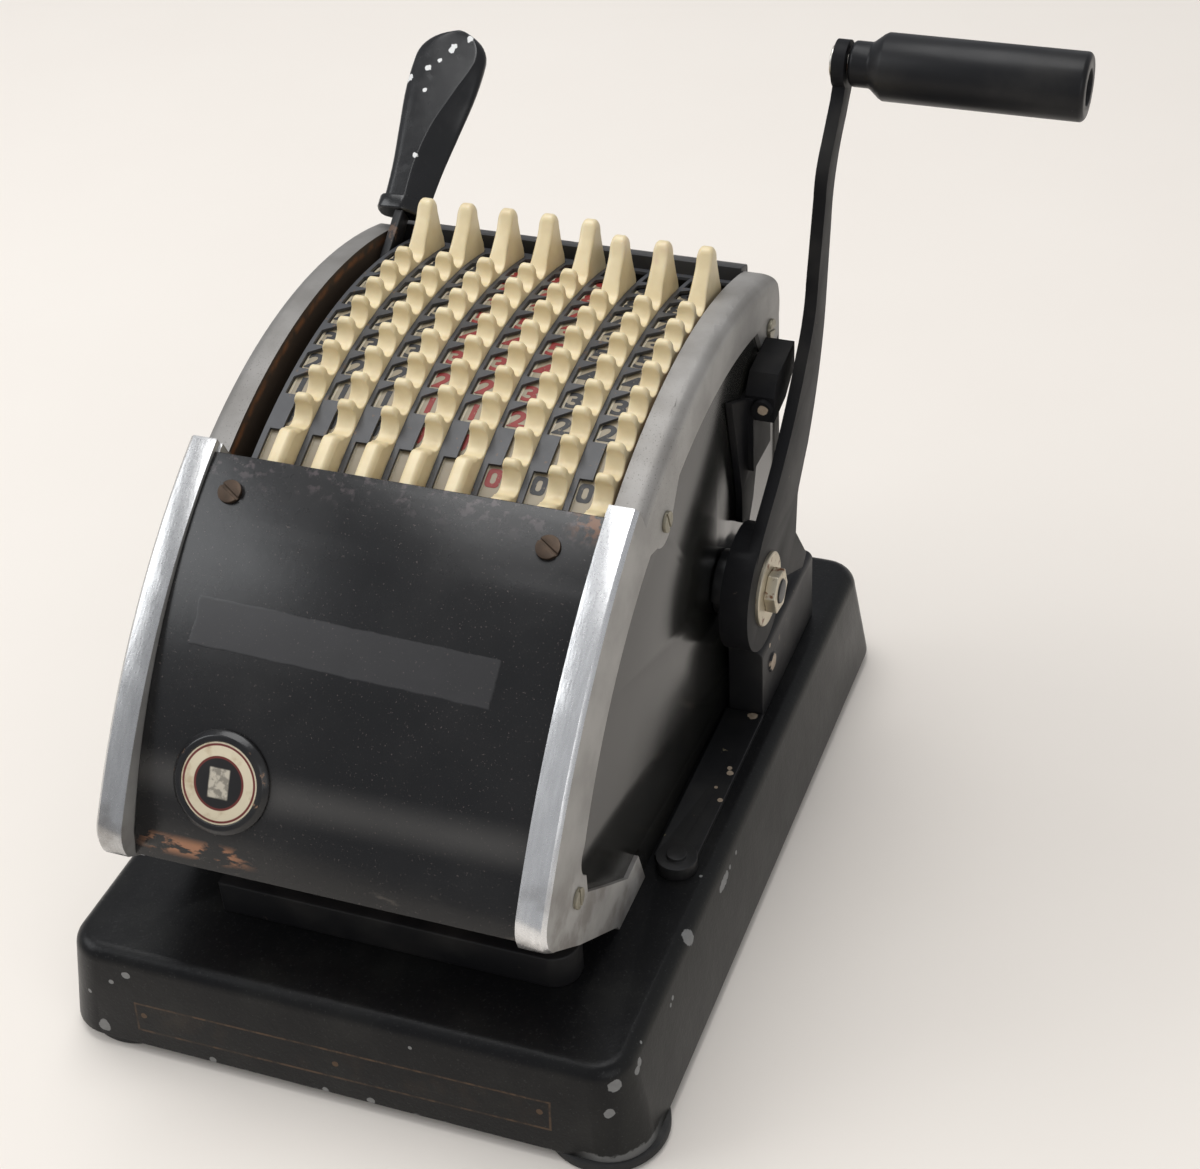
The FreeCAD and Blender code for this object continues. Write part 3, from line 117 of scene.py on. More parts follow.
# ---------------------------------------------------------------- material building blocks
class Look:
    """One material's node tree; every method returns the socket that it made."""

    def __init__(self, name, roughness=0.5, metallic=0.0):
        self.material = bpy.data.materials.new(name)
        self.material.use_nodes = True
        self.tree = self.material.node_tree
        self.shader = self.tree.nodes["Principled BSDF"]
        self.shader.inputs["Roughness"].default_value = roughness
        self.shader.inputs["Metallic"].default_value = metallic
        self.place = self.tree.nodes.new("ShaderNodeTexCoord").outputs["Object"]

    def put(self, socket, value):
        if isinstance(value, bpy.types.NodeSocket):
            self.tree.links.new(value, socket)
        elif socket.type == "RGBA":
            socket.default_value = (*value[:3], 1.0)
        else:
            socket.default_value = value

    def maths(self, operation, a, b=0.0, clamp=False):
        node = self.tree.nodes.new("ShaderNodeMath")
        node.operation = operation
        node.use_clamp = clamp
        self.put(node.inputs[0], a)
        self.put(node.inputs[1], b)
        return node.outputs[0]

    def vector(self, operation, a, b):
        node = self.tree.nodes.new("ShaderNodeVectorMath")
        node.operation = operation
        self.put(node.inputs[0], a)
        self.put(node.inputs[1], b)
        return node.outputs["Value" if operation in ("DISTANCE", "LENGTH") else "Vector"]

    def noise(self, scale, detail=4.0, rough=0.55, stretch=(1, 1, 1), distortion=0.0):
        node = self.tree.nodes.new("ShaderNodeTexNoise")
        self.put(node.inputs["Vector"], self.vector("MULTIPLY", self.place, stretch))
        node.inputs["Scale"].default_value = scale
        node.inputs["Detail"].default_value = detail
        node.inputs["Roughness"].default_value = rough
        node.inputs["Distortion"].default_value = distortion
        return node.outputs["Fac"]

    def step(self, value, low, high, from_zero=True):
        """Smooth step from 0 to 1 between low and high, or from 1 to 0."""
        node = self.tree.nodes.new("ShaderNodeMapRange")
        node.interpolation_type = "SMOOTHSTEP"
        self.put(node.inputs["Value"], value)
        node.inputs["From Min"].default_value = low
        node.inputs["From Max"].default_value = high
        node.inputs["To Min"].default_value = 0.0 if from_zero else 1.0
        node.inputs["To Max"].default_value = 1.0 if from_zero else 0.0
        return node.outputs["Result"]

    def band(self, value, low, high, soft):
        rise = self.step(value, low - soft, low + soft)
        fall = self.step(value, high - soft, high + soft, False)
        return self.maths("MULTIPLY", rise, fall)

    def mix(self, share, a, b):
        node = self.tree.nodes.new("ShaderNodeMix")
        node.data_type = "RGBA"
        self.put(node.inputs["Factor"], share)
        self.put(node.inputs[6], a)
        self.put(node.inputs[7], b)
        return node.outputs[2]

    def blend(self, share, a, b):
        """Number between a and b."""
        node = self.tree.nodes.new("ShaderNodeMix")
        self.put(node.inputs["Factor"], share)
        self.put(node.inputs[2], a)
        self.put(node.inputs[3], b)
        return node.outputs[0]

    def xyz(self):
        node = self.tree.nodes.new("ShaderNodeSeparateXYZ")
        self.put(node.inputs[0], self.place)
        return node.outputs

    def normal(self):
        """Parts of the surface's own normal at rest, before any bump."""
        node = self.tree.nodes.new("ShaderNodeSeparateXYZ")
        self.put(node.inputs[0], self.tree.nodes["Texture Coordinate"].outputs["Normal"])
        return node.outputs

    def polar(self):
        """r in metres and phi in degrees about the racks' pivot."""
        parts = self.xyz()
        dy = self.maths("SUBTRACT", PIVOT_Y, parts[1])
        dz = self.maths("SUBTRACT", parts[2], PIVOT_Z)
        square = self.maths("ADD", self.maths("MULTIPLY", dy, dy), self.maths("MULTIPLY", dz, dz))
        turn = self.maths("ARCTAN2", dz, dy)
        return self.maths("SQRT", square), self.maths("MULTIPLY", turn, 180 / math.pi)

    def spots(self, places, wobble=0.4, scale=700.0):
        """1 inside small ragged spots; places holds (point, radius)."""
        ragged = self.maths("MULTIPLY", self.maths("SUBTRACT", self.noise(scale, 3.0), 0.5), wobble)
        total = None
        for point, radius in places:
            far = self.maths("DIVIDE", self.vector("DISTANCE", self.place, point), radius)
            inside = self.step(self.maths("ADD", far, ragged), 0.85, 1.0, False)
            total = inside if total is None else self.maths("MAXIMUM", total, inside)
        return total

    def colour(self, value):
        self.put(self.shader.inputs["Base Color"], value)

    def roughness(self, value):
        self.put(self.shader.inputs["Roughness"], value)

    def metallic(self, value):
        self.put(self.shader.inputs["Metallic"], value)

    def bump(self, height, distance, strength=1.0):
        node = self.tree.nodes.new("ShaderNodeBump")
        node.inputs["Strength"].default_value = strength
        node.inputs["Distance"].default_value = distance
        self.put(node.inputs["Height"], height)
        self.put(self.shader.inputs["Normal"], node.outputs["Normal"])

    def either(self, *shares):
        total = shares[0]
        for share in shares[1:]:
            total = self.maths("MAXIMUM", total, share)
        return total

    def both(self, *shares):
        total = shares[0]
        for share in shares[1:]:
            total = self.maths("MULTIPLY", total, share)
        return total


# ---------------------------------------------------------------- materials
BLACK = (0.006, 0.006, 0.0065)
GREY_DUST_AND_SIDE_LIGHT = (0.017, 0.017, 0.0155)
RUST = (0.16, 0.065, 0.025)
CHIP = (0.20, 0.20, 0.195)
BAND_TAN = (0.085, 0.050, 0.028)
BAND_X, BAND_Z = (-68.9, 69.4), (11.2, 21.9, 0.016)       # ends; lower and upper line at the middle, rise per mm


def base_paint():
    """Black crackle paint on the cast base, dusty, chipped to the metal along its edges, with painted light on its
    right side.
    """
    look = Look("base_paint")
    x, y, z = look.xyz()
    dust = look.step(look.noise(38, 6.0), 0.42, 0.78)
    # The right side face is painted a lighter grey: painted light on that face; the blotches elsewhere are dust.
    side = look.step(x, SHIFT.x + 86 * MM, SHIFT.x + 93 * MM)
    colour = look.mix(look.either(look.maths("MULTIPLY", dust, 0.7), look.maths("MULTIPLY", side, 0.8)), BLACK, GREY_DUST_AND_SIDE_LIGHT)
    crackle = look.step(look.noise(1300, 3.0), 0.60, 0.74)
    colour = look.mix(look.maths("MULTIPLY", crackle, 0.35), colour, (0.06, 0.06, 0.058))
    front = look.step(y, at(0, -128.6, 0).y, at(0, -128.2, 0).y, False)
    edge = look.maths("ADD", z, look.maths("MULTIPLY", look.maths("SUBTRACT", look.noise(210, 4.0), 0.5), 5.0 * MM))
    nicks = look.both(front, look.step(edge, 3.6 * MM, 4.1 * MM, False))
    chips = look.spots([(at(*p), r * MM) for p, r in BASE_CHIPS], 0.9, 420.0)
    tone = look.mix(look.noise(500, 3.0), tuple(c * 0.75 for c in CHIP), tuple(c * 1.25 for c in CHIP))
    colour = look.mix(front_band(look, x, z, front), colour, BAND_TAN)
    corner = look.both(look.step(x, SHIFT.x + 76 * MM, SHIFT.x + 84 * MM), look.step(edge, 6.3 * MM, 7.0 * MM, False),
                       look.step(y, SHIFT.y - 122 * MM, SHIFT.y - 108 * MM, False))
    colour = look.mix(look.maths("MULTIPLY", look.either(nicks, corner), 0.6), colour, CHIP)
    look.colour(look.mix(chips, colour, tone))
    look.roughness(look.blend(look.noise(60, 5.0), 0.27, 0.42))
    look.shader.inputs["Specular IOR Level"].default_value = 0.18
    fine = look.maths("MULTIPLY", look.noise(900, 4.0), 0.35)
    lumps = look.maths("MULTIPLY", look.noise(160, 4.0), 0.8)
    height = look.maths("SUBTRACT", look.maths("ADD", fine, lumps), look.maths("MULTIPLY", chips, 0.6))
    look.bump(height, 0.25 * MM, 0.6)
    return look.material


def front_band(look, x, z, front):
    """Thin worn border with three dots on the base's front; the band itself is bare."""
    rise = look.maths("MULTIPLY", look.maths("SUBTRACT", x, SHIFT.x), BAND_Z[2])
    level = look.maths("SUBTRACT", z, rise)
    low, high, line = BAND_Z[0] * MM, BAND_Z[1] * MM, 0.35 * MM
    x0, x1 = (SHIFT.x + v * MM for v in BAND_X)
    along = look.either(look.band(level, low - line, low + line, 0.15 * MM), look.band(level, high - line, high + line, 0.15 * MM))
    across = look.either(look.band(x, x0 - line, x0 + line, 0.15 * MM), look.band(x, x1 - line, x1 + line, 0.15 * MM))
    within_x = look.band(x, x0 - line, x1 + line, 0.1 * MM)
    within_z = look.band(level, low - line, high + line, 0.1 * MM)
    dots = look.spots([(at(*p), 1.1 * MM) for p in BAND_DOTS], 0.5, 600.0)
    wash = look.both(within_x, within_z, look.step(look.noise(120, 5.0), 0.45, 0.8))
    lines = look.either(look.both(along, within_x), look.both(across, within_z))
    worn = look.blend(look.step(look.noise(220, 4.0), 0.40, 0.62), 0.25, 1.0)
    share = look.either(look.both(lines, worn), dots, look.maths("MULTIPLY", wash, 0.16))
    return look.both(front, share)


BAND_DOTS = [(-66.3, -130.6, 16.4), (-0.4, -130.5, 16.7), (66.1, -130.3, 18.5)]
BASE_CHIPS = [((91.6, -66.9, 36.6), 2.8), ((92.9, -23.0, 32.5), 0.8), ((92.9, -29.6, 32.2), 0.9),
              ((93.0, -33.2, 32.0), 1.5), ((93.0, -35.2, 31.9), 1.8), ((93.0, -37.4, 31.7), 1.9),
              ((93.0, -39.4, 31.6), 1.3), ((93.2, -87.0, 31.2), 0.9), ((93.2, -89.4, 30.4), 0.8),
              ((92.8, -115.7, 33.6), 1.5), ((92.8, -117.9, 32.4), 1.5), ((88.8, -125.8, 33.0), 2.3),
              ((87.5, -128.4, 23.2), 1.8), ((87.6, -42.5, 38.8), 0.6), ((91.6, -110.9, 36.6), 0.6),
              ((-76.3, -129.4, 27.4), 0.9), ((-70.5, -129.0, 31.6), 1.5), ((-85.2, -129.6, 20.7), 0.8),
              ((-81.6, -131.4, 8.0), 2.4), ((-43.5, -131.7, 5.0), 1.3), ((-4.9, -131.7, 4.6), 1.2),
              ((10.6, -131.7, 5.0), 1.4), ((25.4, -129.1, 31.2), 0.7)]


PATCH_X = SHIFT.x - 51.5 * MM, SHIFT.x + 43.0 * MM        # ends of the bare label patch


def cover_paint():
    """Black paint of the front cover with a paler bare patch, speckles, a worn lower edge and a painted highlight
    band.
    """
    look = Look("cover_paint")
    r, phi = look.polar()
    x = look.xyz()[0]
    speckle = look.step(look.noise(1500, 2.0), 0.66, 0.74)
    cloud = look.noise(22, 5.0)
    colour = look.mix(look.step(cloud, 0.35, 0.7), (0.007, 0.007, 0.0075), (0.015, 0.0145, 0.0145))
    lean = look.maths("MULTIPLY", look.maths("SUBTRACT", x, PATCH_X[0]), 7.0)
    patch_phi = look.maths("ADD", phi, lean)
    ragged = look.maths("MULTIPLY", look.maths("SUBTRACT", look.noise(130, 4.0), 0.5), 1.6)
    across = look.maths("ADD", x, look.maths("MULTIPLY", ragged, 1.6 * MM))
    patch = look.both(look.band(across, *PATCH_X, 0.4 * MM),
                      look.band(look.maths("ADD", patch_phi, look.maths("MULTIPLY", ragged, 0.25)), 43.6, 48.1, 0.10))
    colour = look.mix(look.both(patch, look.blend(look.noise(90, 4.0), 0.6, 1.0)), colour, (0.036, 0.035, 0.036))
    # A soft lighter band across the cover between phi 29.6 and 32.4 degrees: a painted highlight.
    painted_highlight_band = look.both(look.band(phi, 29.6, 32.4, 1.4), look.blend(look.noise(30, 4.0), 0.4, 1.0))
    colour = look.mix(look.maths("MULTIPLY", painted_highlight_band, 0.8), colour, (0.082, 0.078, 0.073))
    top = look.step(phi, 58.0, 62.3)
    worn_top = look.both(top, look.step(look.noise(320, 4.0), 0.52, 0.66))
    colour = look.mix(worn_top, colour, (0.075, 0.060, 0.062))
    low = look.both(look.step(phi, 24.6, 23.4, False), look.step(phi, 22.0, 23.4))
    worn_low = look.both(look.step(phi, 25.6, 23.6, True), look.step(look.noise(150, 5.0, stretch=(0.35, 1, 1)), 0.60, 0.68))
    copper = look.both(look.band(x, SHIFT.x - 57 * MM, SHIFT.x - 26 * MM, 6 * MM), look.band(phi, 23.4, 25.0, 0.5),
                       look.step(look.noise(260, 4.0, stretch=(0.4, 1, 1)), 0.47, 0.55))
    colour = look.mix(look.maths("MULTIPLY", worn_low, 0.5), colour, (0.10, 0.085, 0.07))
    colour = look.mix(copper, colour, (0.33, 0.15, 0.075))
    corner = look.both(look.step(x, SHIFT.x + 50 * MM, SHIFT.x + 59 * MM), look.step(phi, 59.0, 61.5),
                       look.step(look.noise(420, 3.0), 0.44, 0.58))
    colour = look.mix(corner, colour, RUST)
    colour = look.mix(look.maths("MULTIPLY", speckle, 0.5), colour, (0.16, 0.13, 0.12))
    look.colour(colour)
    rough = look.blend(look.noise(45, 5.0), 0.20, 0.33)
    look.roughness(look.blend(patch, rough, 0.42))
    look.shader.inputs["Specular IOR Level"].default_value = 0.42
    height = look.maths("ADD", look.maths("MULTIPLY", look.noise(240, 4.0), 0.5), look.maths("MULTIPLY", patch, 0.8))
    look.bump(height, 0.12 * MM, 0.5)
    return look.material


def panel_enamel():
    """Deep black enamel of the side panels, which mirrors the table."""
    look = Look("panel_enamel")
    smear = look.noise(18, 5.0, stretch=(1, 1, 0.6))
    look.colour(look.mix(look.step(smear, 0.4, 0.75), (0.008, 0.008, 0.007), (0.018, 0.0175, 0.015)))
    look.roughness(look.blend(look.noise(55, 4.0), 0.14, 0.26))
    look.shader.inputs["Specular IOR Level"].default_value = 0.95
    look.bump(look.noise(30, 2.0), 0.5 * MM, 0.2)
    return look.material


def cast_aluminium(side):
    """Bare cast frame: satin rim, brighter brushed cheek, dull sides, the left frame darker as painted shade; side is
    -1 left or 1 right.
    """
    look = Look("cast_aluminium_" + ("left" if side < 0 else "right"), 0.4, 0.85)
    r, phi = look.polar()
    out = look.normal()[0]
    grain = look.noise(1400, 3.0)
    cloud = look.noise(60, 5.0)
    # The left frame's rim and cheek are coloured darker than the right frame's: painted shade on the left frame.
    rim_shade = 0.74 if side < 0 else 0.93
    satin = look.mix(look.step(cloud, 0.3, 0.7), tuple(c * rim_shade for c in (0.30, 0.285, 0.265)),
                     tuple(c * rim_shade for c in (0.38, 0.365, 0.345)))
    dull = look.mix(look.step(cloud, 0.3, 0.7), (0.33, 0.32, 0.305), (0.43, 0.42, 0.40))
    cheek_shade = 0.66 if side < 0 else 1.0
    brushed = look.mix(look.noise(90, 3.0, stretch=(9, 1, 1)), (0.62 * cheek_shade,) * 3, (0.90 * cheek_shade,) * 3)
    facing_side = look.step(look.maths("ABSOLUTE", out), 0.80, 0.97)
    cheek = look.both(look.step(phi, CHEEK_PHI - 0.3, CHEEK_PHI + 0.3, False), look.step(r, 170 * MM, 174 * MM))
    colour = look.mix(cheek, satin, brushed)
    colour = look.mix(facing_side, colour, dull)
    if side > 0:
        # The right frame's outer side behind y 49 mm and below z 149 mm is coloured black and made not metallic.
        _, y, z = look.xyz()
        black_area = look.both(facing_side, look.step(y, at(0, 48, 0).y, at(0, 50, 0).y),
                            look.step(z, 148 * MM, 149.5 * MM, False))
        colour = look.mix(black_area, colour, (0.006, 0.006, 0.006))
    pits = look.both(look.step(look.noise(2100, 1.0), 0.67, 0.72), look.band(phi, 64.0, 78.0, 6.0))
    colour = look.mix(look.maths("MULTIPLY", pits, 0.7), colour, (0.09, 0.08, 0.07))
    tarnish = look.both(look.step(phi, 22.0, 34.0, False),
                        look.step(look.noise(70, 5.0), 0.45, 0.65))
    colour = look.mix(look.maths("MULTIPLY", tarnish, 0.55), colour, (0.16, 0.14, 0.12))
    inner = look.both(look.step(look.maths("MULTIPLY", out, -float(side)), 0.7, 0.9),
                      look.step(phi, CHEEK_PHI - 0.3, CHEEK_PHI + 0.3))
    strip = look.both(look.band(r, 168.5 * MM, 170.5 * MM, 1.0 * MM), look.step(look.noise(160, 4.0), 0.35, 0.6))
    wall = look.mix(strip, (0.045, 0.030, 0.019), RUST)
    look.colour(look.mix(inner, colour, wall))
    shine = look.blend(inner, look.blend(facing_side, look.blend(cheek, 0.55, 0.9), 0.6), 0.0)
    look.metallic(look.maths("SUBTRACT", shine, black_area, True) if side > 0 else shine)
    rough = look.blend(facing_side, look.blend(cheek, 0.56, 0.24), 0.55)
    look.roughness(look.maths("ADD", rough, look.maths("MULTIPLY", grain, 0.08)))
    streaks = look.noise(260, 2.0, stretch=(6, 1, 1))
    height = look.blend(cheek, grain, streaks)
    look.bump(look.maths("SUBTRACT", height, look.maths("MULTIPLY", pits, 1.5)), 0.10 * MM, 0.45)
    return look.material


def key_plastic():
    """Aged cream moulding, browner low down from grime and painted shade, and where the racks rub."""
    look = Look("key_plastic", 0.38)
    r, _ = look.polar()
    cloud = look.noise(90, 4.0)
    colour = look.mix(look.step(cloud, 0.3, 0.7), (0.70, 0.575, 0.345), (0.79, 0.67, 0.43))
    # Browner low down between the lips: grime, and painted shade in the hollows.
    low = look.step(r, 166.5 * MM, 170.8 * MM, False)
    grime_and_shade = look.both(low, look.step(look.noise(240, 4.0), 0.42, 0.66))
    colour = look.mix(look.maths("MULTIPLY", grime_and_shade, 0.75), colour, (0.22, 0.12, 0.045))
    stain = look.both(look.step(r, 174 * MM, 182 * MM), look.step(look.noise(110, 3.0), 0.58, 0.75))
    colour = look.mix(look.maths("MULTIPLY", stain, 0.45), colour, (0.66, 0.47, 0.33))
    flange = look.step(r, 167.55 * MM, 167.7 * MM, False)
    place = look.maths("DIVIDE", look.maths("SUBTRACT", look.xyz()[0], FIRST_X - 10.1 * MM), PITCH)
    strip = look.step(look.maths("FRACT", place), 0.055, 0.075, False)
    colour = look.mix(flange, colour, look.mix(strip, (0.30, 0.25, 0.17), (0.60, 0.53, 0.39)))
    look.colour(colour)
    look.roughness(look.blend(look.noise(300, 3.0), 0.30, 0.46))
    look.shader.inputs["Subsurface Weight"].default_value = 0.12
    look.shader.inputs["Subsurface Radius"].default_value = (0.004, 0.0025, 0.0012)
    look.bump(look.noise(500, 3.0), 0.05 * MM, 0.4)
    return look.material


def mask_paint():
    """Slate paint of the number masks, rubbed to rust in places."""
    look = Look("mask_paint", 0.42)
    wear = look.step(look.noise(420, 5.0), 0.63, 0.70)
    cloud = look.noise(80, 4.0)
    colour = look.mix(cloud, (0.042, 0.043, 0.047), (0.060, 0.061, 0.066))
    look.colour(look.mix(look.maths("MULTIPLY", wear, 0.8), colour, (0.12, 0.075, 0.045)))
    look.roughness(look.blend(look.noise(260, 3.0), 0.34, 0.52))
    look.bump(wear, 0.06 * MM, -0.5)
    return look.material


def worn_enamel(name, wear_colour=(0.10, 0.075, 0.06), amount=0.64, gloss=0.28, level=0.4, marks=()):
    """Black enamel with small worn places; level is its specular level, marks are larger bare spots."""
    look = Look(name)
    look.shader.inputs["Specular IOR Level"].default_value = level
    wear = look.step(look.noise(170, 6.0, 0.65), amount, amount + 0.05)
    cloud = look.step(look.noise(40, 4.0), 0.4, 0.75)
    colour = look.mix(cloud, (0.010, 0.010, 0.011), (0.024, 0.023, 0.022))
    colour = look.mix(wear, colour, wear_colour)
    if marks:
        bare = look.mix(look.noise(600, 3.0), (0.22, 0.15, 0.10), (0.50, 0.42, 0.32))
        colour = look.mix(look.spots([(at(*p), r * MM) for p, r in marks], 1.0, 500.0), colour, bare)
    look.colour(colour)
    look.roughness(look.blend(look.noise(90, 4.0), gloss, gloss + 0.16))
    look.bump(look.maths("SUBTRACT", look.noise(300, 3.0), wear), 0.06 * MM, 0.4)
    return look.material


def screw_metal():
    """Blackened screws on the cover, dull brass on the head frames."""
    look = Look("screw_metal", 0.4, 0.7)
    x = look.xyz()[0]
    frame = look.step(look.maths("ABSOLUTE", look.maths("SUBTRACT", x, SHIFT.x)), 59 * MM, 60 * MM)
    cloud = look.noise(420, 4.0)
    dark = look.mix(cloud, (0.030, 0.022, 0.016), (0.085, 0.055, 0.036))
    brass = look.mix(cloud, (0.20, 0.18, 0.13), (0.42, 0.39, 0.31))
    look.colour(look.mix(frame, dark, brass))
    look.roughness(look.blend(look.noise(700, 3.0), 0.36, 0.55))
    look.bump(look.noise(900, 3.0), 0.05 * MM, 0.5)
    return look.material


BRACKET_MARKS = [((77.5, 58.8, 146.4), 1.9)]
BLOCK_MARKS = [((84.8, 46.0, 55.8), 3.2), ((84.0, 44.5, 64.0), 0.8)]
CHANNEL_MARKS = [((81.1, 33.7, 41.0), 1.9), ((82.4, 3.9, 41.0), 1.2), ((81.6, 6.2, 41.0), 0.9),
                 ((83.3, -9.5, 41.0), 1.0), ((80.2, -4.0, 41.0), 0.6)]


def paddle_black():
    """Gloss black handle with a few pale chips on its end."""
    look = Look("paddle_black")
    chips = look.spots([(at(*p), r * MM) for p, r in PADDLE_CHIPS], 1.6, 900.0)
    cloud = look.step(look.noise(120, 5.0), 0.58, 0.80)
    colour = look.mix(cloud, (0.006, 0.006, 0.0065), (0.030, 0.030, 0.030))
    look.colour(look.mix(chips, colour, (0.72, 0.72, 0.70)))
    look.roughness(look.blend(look.noise(150, 4.0), 0.16, 0.34))
    look.bump(look.noise(90, 4.0), 0.2 * MM, 0.3)
    return look.material


PADDLE_CHIPS = [((-56.0, 137.8, 219.5), 1.3), ((-55.6, 138.8, 220.2), 1.2), ((-61.5, 125.1, 210.1), 0.9),
                ((-62.8, 131.9, 214.9), 1.2), ((-59.3, 134.5, 217.0), 0.9), ((-50.6, 141.4, 222.5), 1.3),
                ((-57.9, 105.1, 196.1), 1.0), ((-68.5, 130.0, 211.0), 1.8), ((-57.8, 86.5, 185.8), 1.0)]


def bright_metal(name, colour=(0.60, 0.57, 0.52), rust=0.60, rough=0.30):
    """Nickel or steel with freckles of rust."""
    look = Look(name, rough, 1.0)
    freckles = look.step(look.noise(330, 5.0), rust, rust + 0.08)
    cloud = look.noise(90, 4.0)
    shine = look.mix(cloud, tuple(c * 0.8 for c in colour), colour)
    look.colour(look.mix(freckles, shine, RUST))
    look.metallic(look.maths("SUBTRACT", 1.0, look.maths("MULTIPLY", freckles, 0.9)))
    look.roughness(look.blend(look.noise(200, 4.0), rough, rough + 0.18))
    look.bump(look.noise(600, 3.0), 0.05 * MM, 0.4)
    return look.material


def rubber():
    look = Look("rubber", 0.75)
    look.colour(look.mix(look.step(look.noise(70, 4.0), 0.45, 0.75), (0.012, 0.012, 0.012), (0.045, 0.043, 0.04)))
    look.roughness(look.blend(look.noise(90, 3.0), 0.62, 0.85))
    look.bump(look.noise(900, 3.0), 0.08 * MM, 0.5)
    return look.material


def badge_face():
    """Plain badge: cream ring between two dark red lines round a black middle."""
    look = Look("badge_face", 0.3)
    far = look.vector("DISTANCE", look.place, polar(BADGE_X, COVER_R + 1.9 * MM, BADGE_PHI))
    share = look.maths("DIVIDE", far, BADGE_R)
    cream = look.mix(look.step(look.noise(160, 5.0), 0.5, 0.7), (0.66, 0.58, 0.42), (0.48, 0.38, 0.24))
    lines = look.either(look.band(share, 0.60, 0.655, 0.012), look.band(share, 0.90, 0.955, 0.012))
    colour = look.mix(look.step(share, 0.60, 0.62), (0.010, 0.009, 0.009), cream)
    phi = look.polar()[1]
    lift = look.maths("MULTIPLY", look.maths("SUBTRACT", phi, BADGE_PHI), math.radians(1) * COVER_R)
    wear = look.step(look.noise(420, 4.0), 0.40, 0.56, False)
    tile = look.both(look.band(look.xyz()[0], BADGE_X - 3.2 * MM, BADGE_X + 3.2 * MM, 0.3 * MM),
                     look.band(lift, -4.4 * MM, 4.4 * MM, 0.3 * MM), look.blend(wear, 0.45, 1.0))
    colour = look.mix(tile, colour, (0.52, 0.47, 0.38))
    look.colour(look.mix(lines, colour, (0.13, 0.018, 0.015)))
    look.roughness(look.blend(look.noise(120, 3.0), 0.22, 0.4))
    look.bump(look.both(look.noise(400, 3.0), 0.5), 0.05 * MM, 0.4)
    return look.material


def ink(name, colour):
    """Printed digit, rubbed thin in places."""
    look = Look(name, 0.5)
    thin = look.step(look.noise(900, 4.0), 0.60, 0.72)
    look.colour(look.mix(look.maths("MULTIPLY", thin, 0.5), colour, (0.30, 0.25, 0.17)))
    look.roughness(look.blend(look.noise(500, 2.0), 0.42, 0.6))
    look.bump(thin, 0.02 * MM, 0.5)
    return look.material


# ---------------------------------------------------------------- pieces
def round_edges(node, width, segments=3, angle=28):
    """Welds a CAD node's faces, merges flat ones and rounds its edges with modifiers only."""
    weld = node.modifiers.new("weld", "WELD")
    weld.merge_threshold = 1e-6
    flat = node.modifiers.new("flat", "DECIMATE")
    flat.decimate_type = "DISSOLVE"
    flat.angle_limit = math.radians(0.4)
    bevel = node.modifiers.new("bevel", "BEVEL")
    bevel.width = width
    bevel.segments = segments
    bevel.limit_method = "ANGLE"
    bevel.angle_limit = math.radians(angle)
    bevel.harden_normals = True
    bevel.miter_outer = "MITER_ARC"
    node.data.polygons.foreach_set("use_smooth", [True] * len(node.data.polygons))


def arc(middle, radius, start, end, count):
    """Points of an arc in the plane of arc length and height; angles in degrees, 0 along the length, 90 up."""
    turns = [math.radians(start + (end - start) * k / count) for k in range(count + 1)]
    return [(middle[0] + radius * math.cos(t), middle[1] + radius * math.sin(t)) for t in turns]


def straight(p, q, count):
    return [(p[0] + (q[0] - p[0]) * k / count, p[1] + (q[1] - p[1]) * k / count) for k in range(count + 1)]


def ridge_outline():
    """Side view of a finger ridge, unrolled: length from the cover's edge and radius."""
    step = math.radians(STEP) * SCOOP_R
    front, rear = (math.radians(phi - EDGE_PHI) * SCOOP_R for phi in (RACK_FRONT, RACK_REAR))
    lip = HOOK_R - LIP_R
    half, depth = step / 2 - LIP_R, lip - SCOOP_R
    hollow = (half ** 2 + depth ** 2) / (2 * depth)
    reach = 180 - math.degrees(math.asin(half / hollow))
    tab_end = step - 2.9 * MM
    points = straight((front, RIDGE_R0), (front, HOOK_R - 2 * LIP_R), 3)[:-1]
    points += arc((front + LIP_R, lip), LIP_R, 180, 90, 6) + straight((front + 2 * LIP_R, HOOK_R), (tab_end, HOOK_R), 8)[:-1]
    points += arc((tab_end, HOOK_R - 2.6 * MM), 2.6 * MM, 78, 8, 5)
    for n in range(2, LAST_HOOK + 1):
        middle = ((n - 0.5) * step, SCOOP_R + hollow)
        end = reach if n < LAST_HOOK else 62
        start = -reach if n > 2 else -78
        points += arc(middle, hollow, start - 90, end - 90, 12)
        if n < LAST_HOOK:
            points += arc((n * step, lip), LIP_R, 172, 8, 8)
    fin = LAST_HOOK * step + 5.3 * MM
    points += straight(points[-1], (fin, FIN_R - 3.2 * MM), 7)[1:-1]
    points += arc((fin + 2.3 * MM, FIN_R - 2.4 * MM), 2.4 * MM, 168, 25, 7)
    points += straight((fin + 4.9 * MM, FIN_R - 3.5 * MM), (rear, SCOOP_R + 1 * MM), 8)[:-1]
    points += straight((rear, SCOOP_R), (rear, RIDGE_R0), 3)[:-1]
    return points + straight((rear, RIDGE_R0), (front, RIDGE_R0), 36)[:-1]


def inset(points, amount):
    """Closed outline moved inwards along its own normals."""
    moved = []
    for k, point in enumerate(points):
        before, after = points[k - 1], points[(k + 1) % len(points)]
        run, rise = after[0] - before[0], after[1] - before[1]
        size = math.hypot(run, rise) or 1.0
        moved.append((point[0] + rise / size * amount, point[1] - run / size * amount))
    return moved


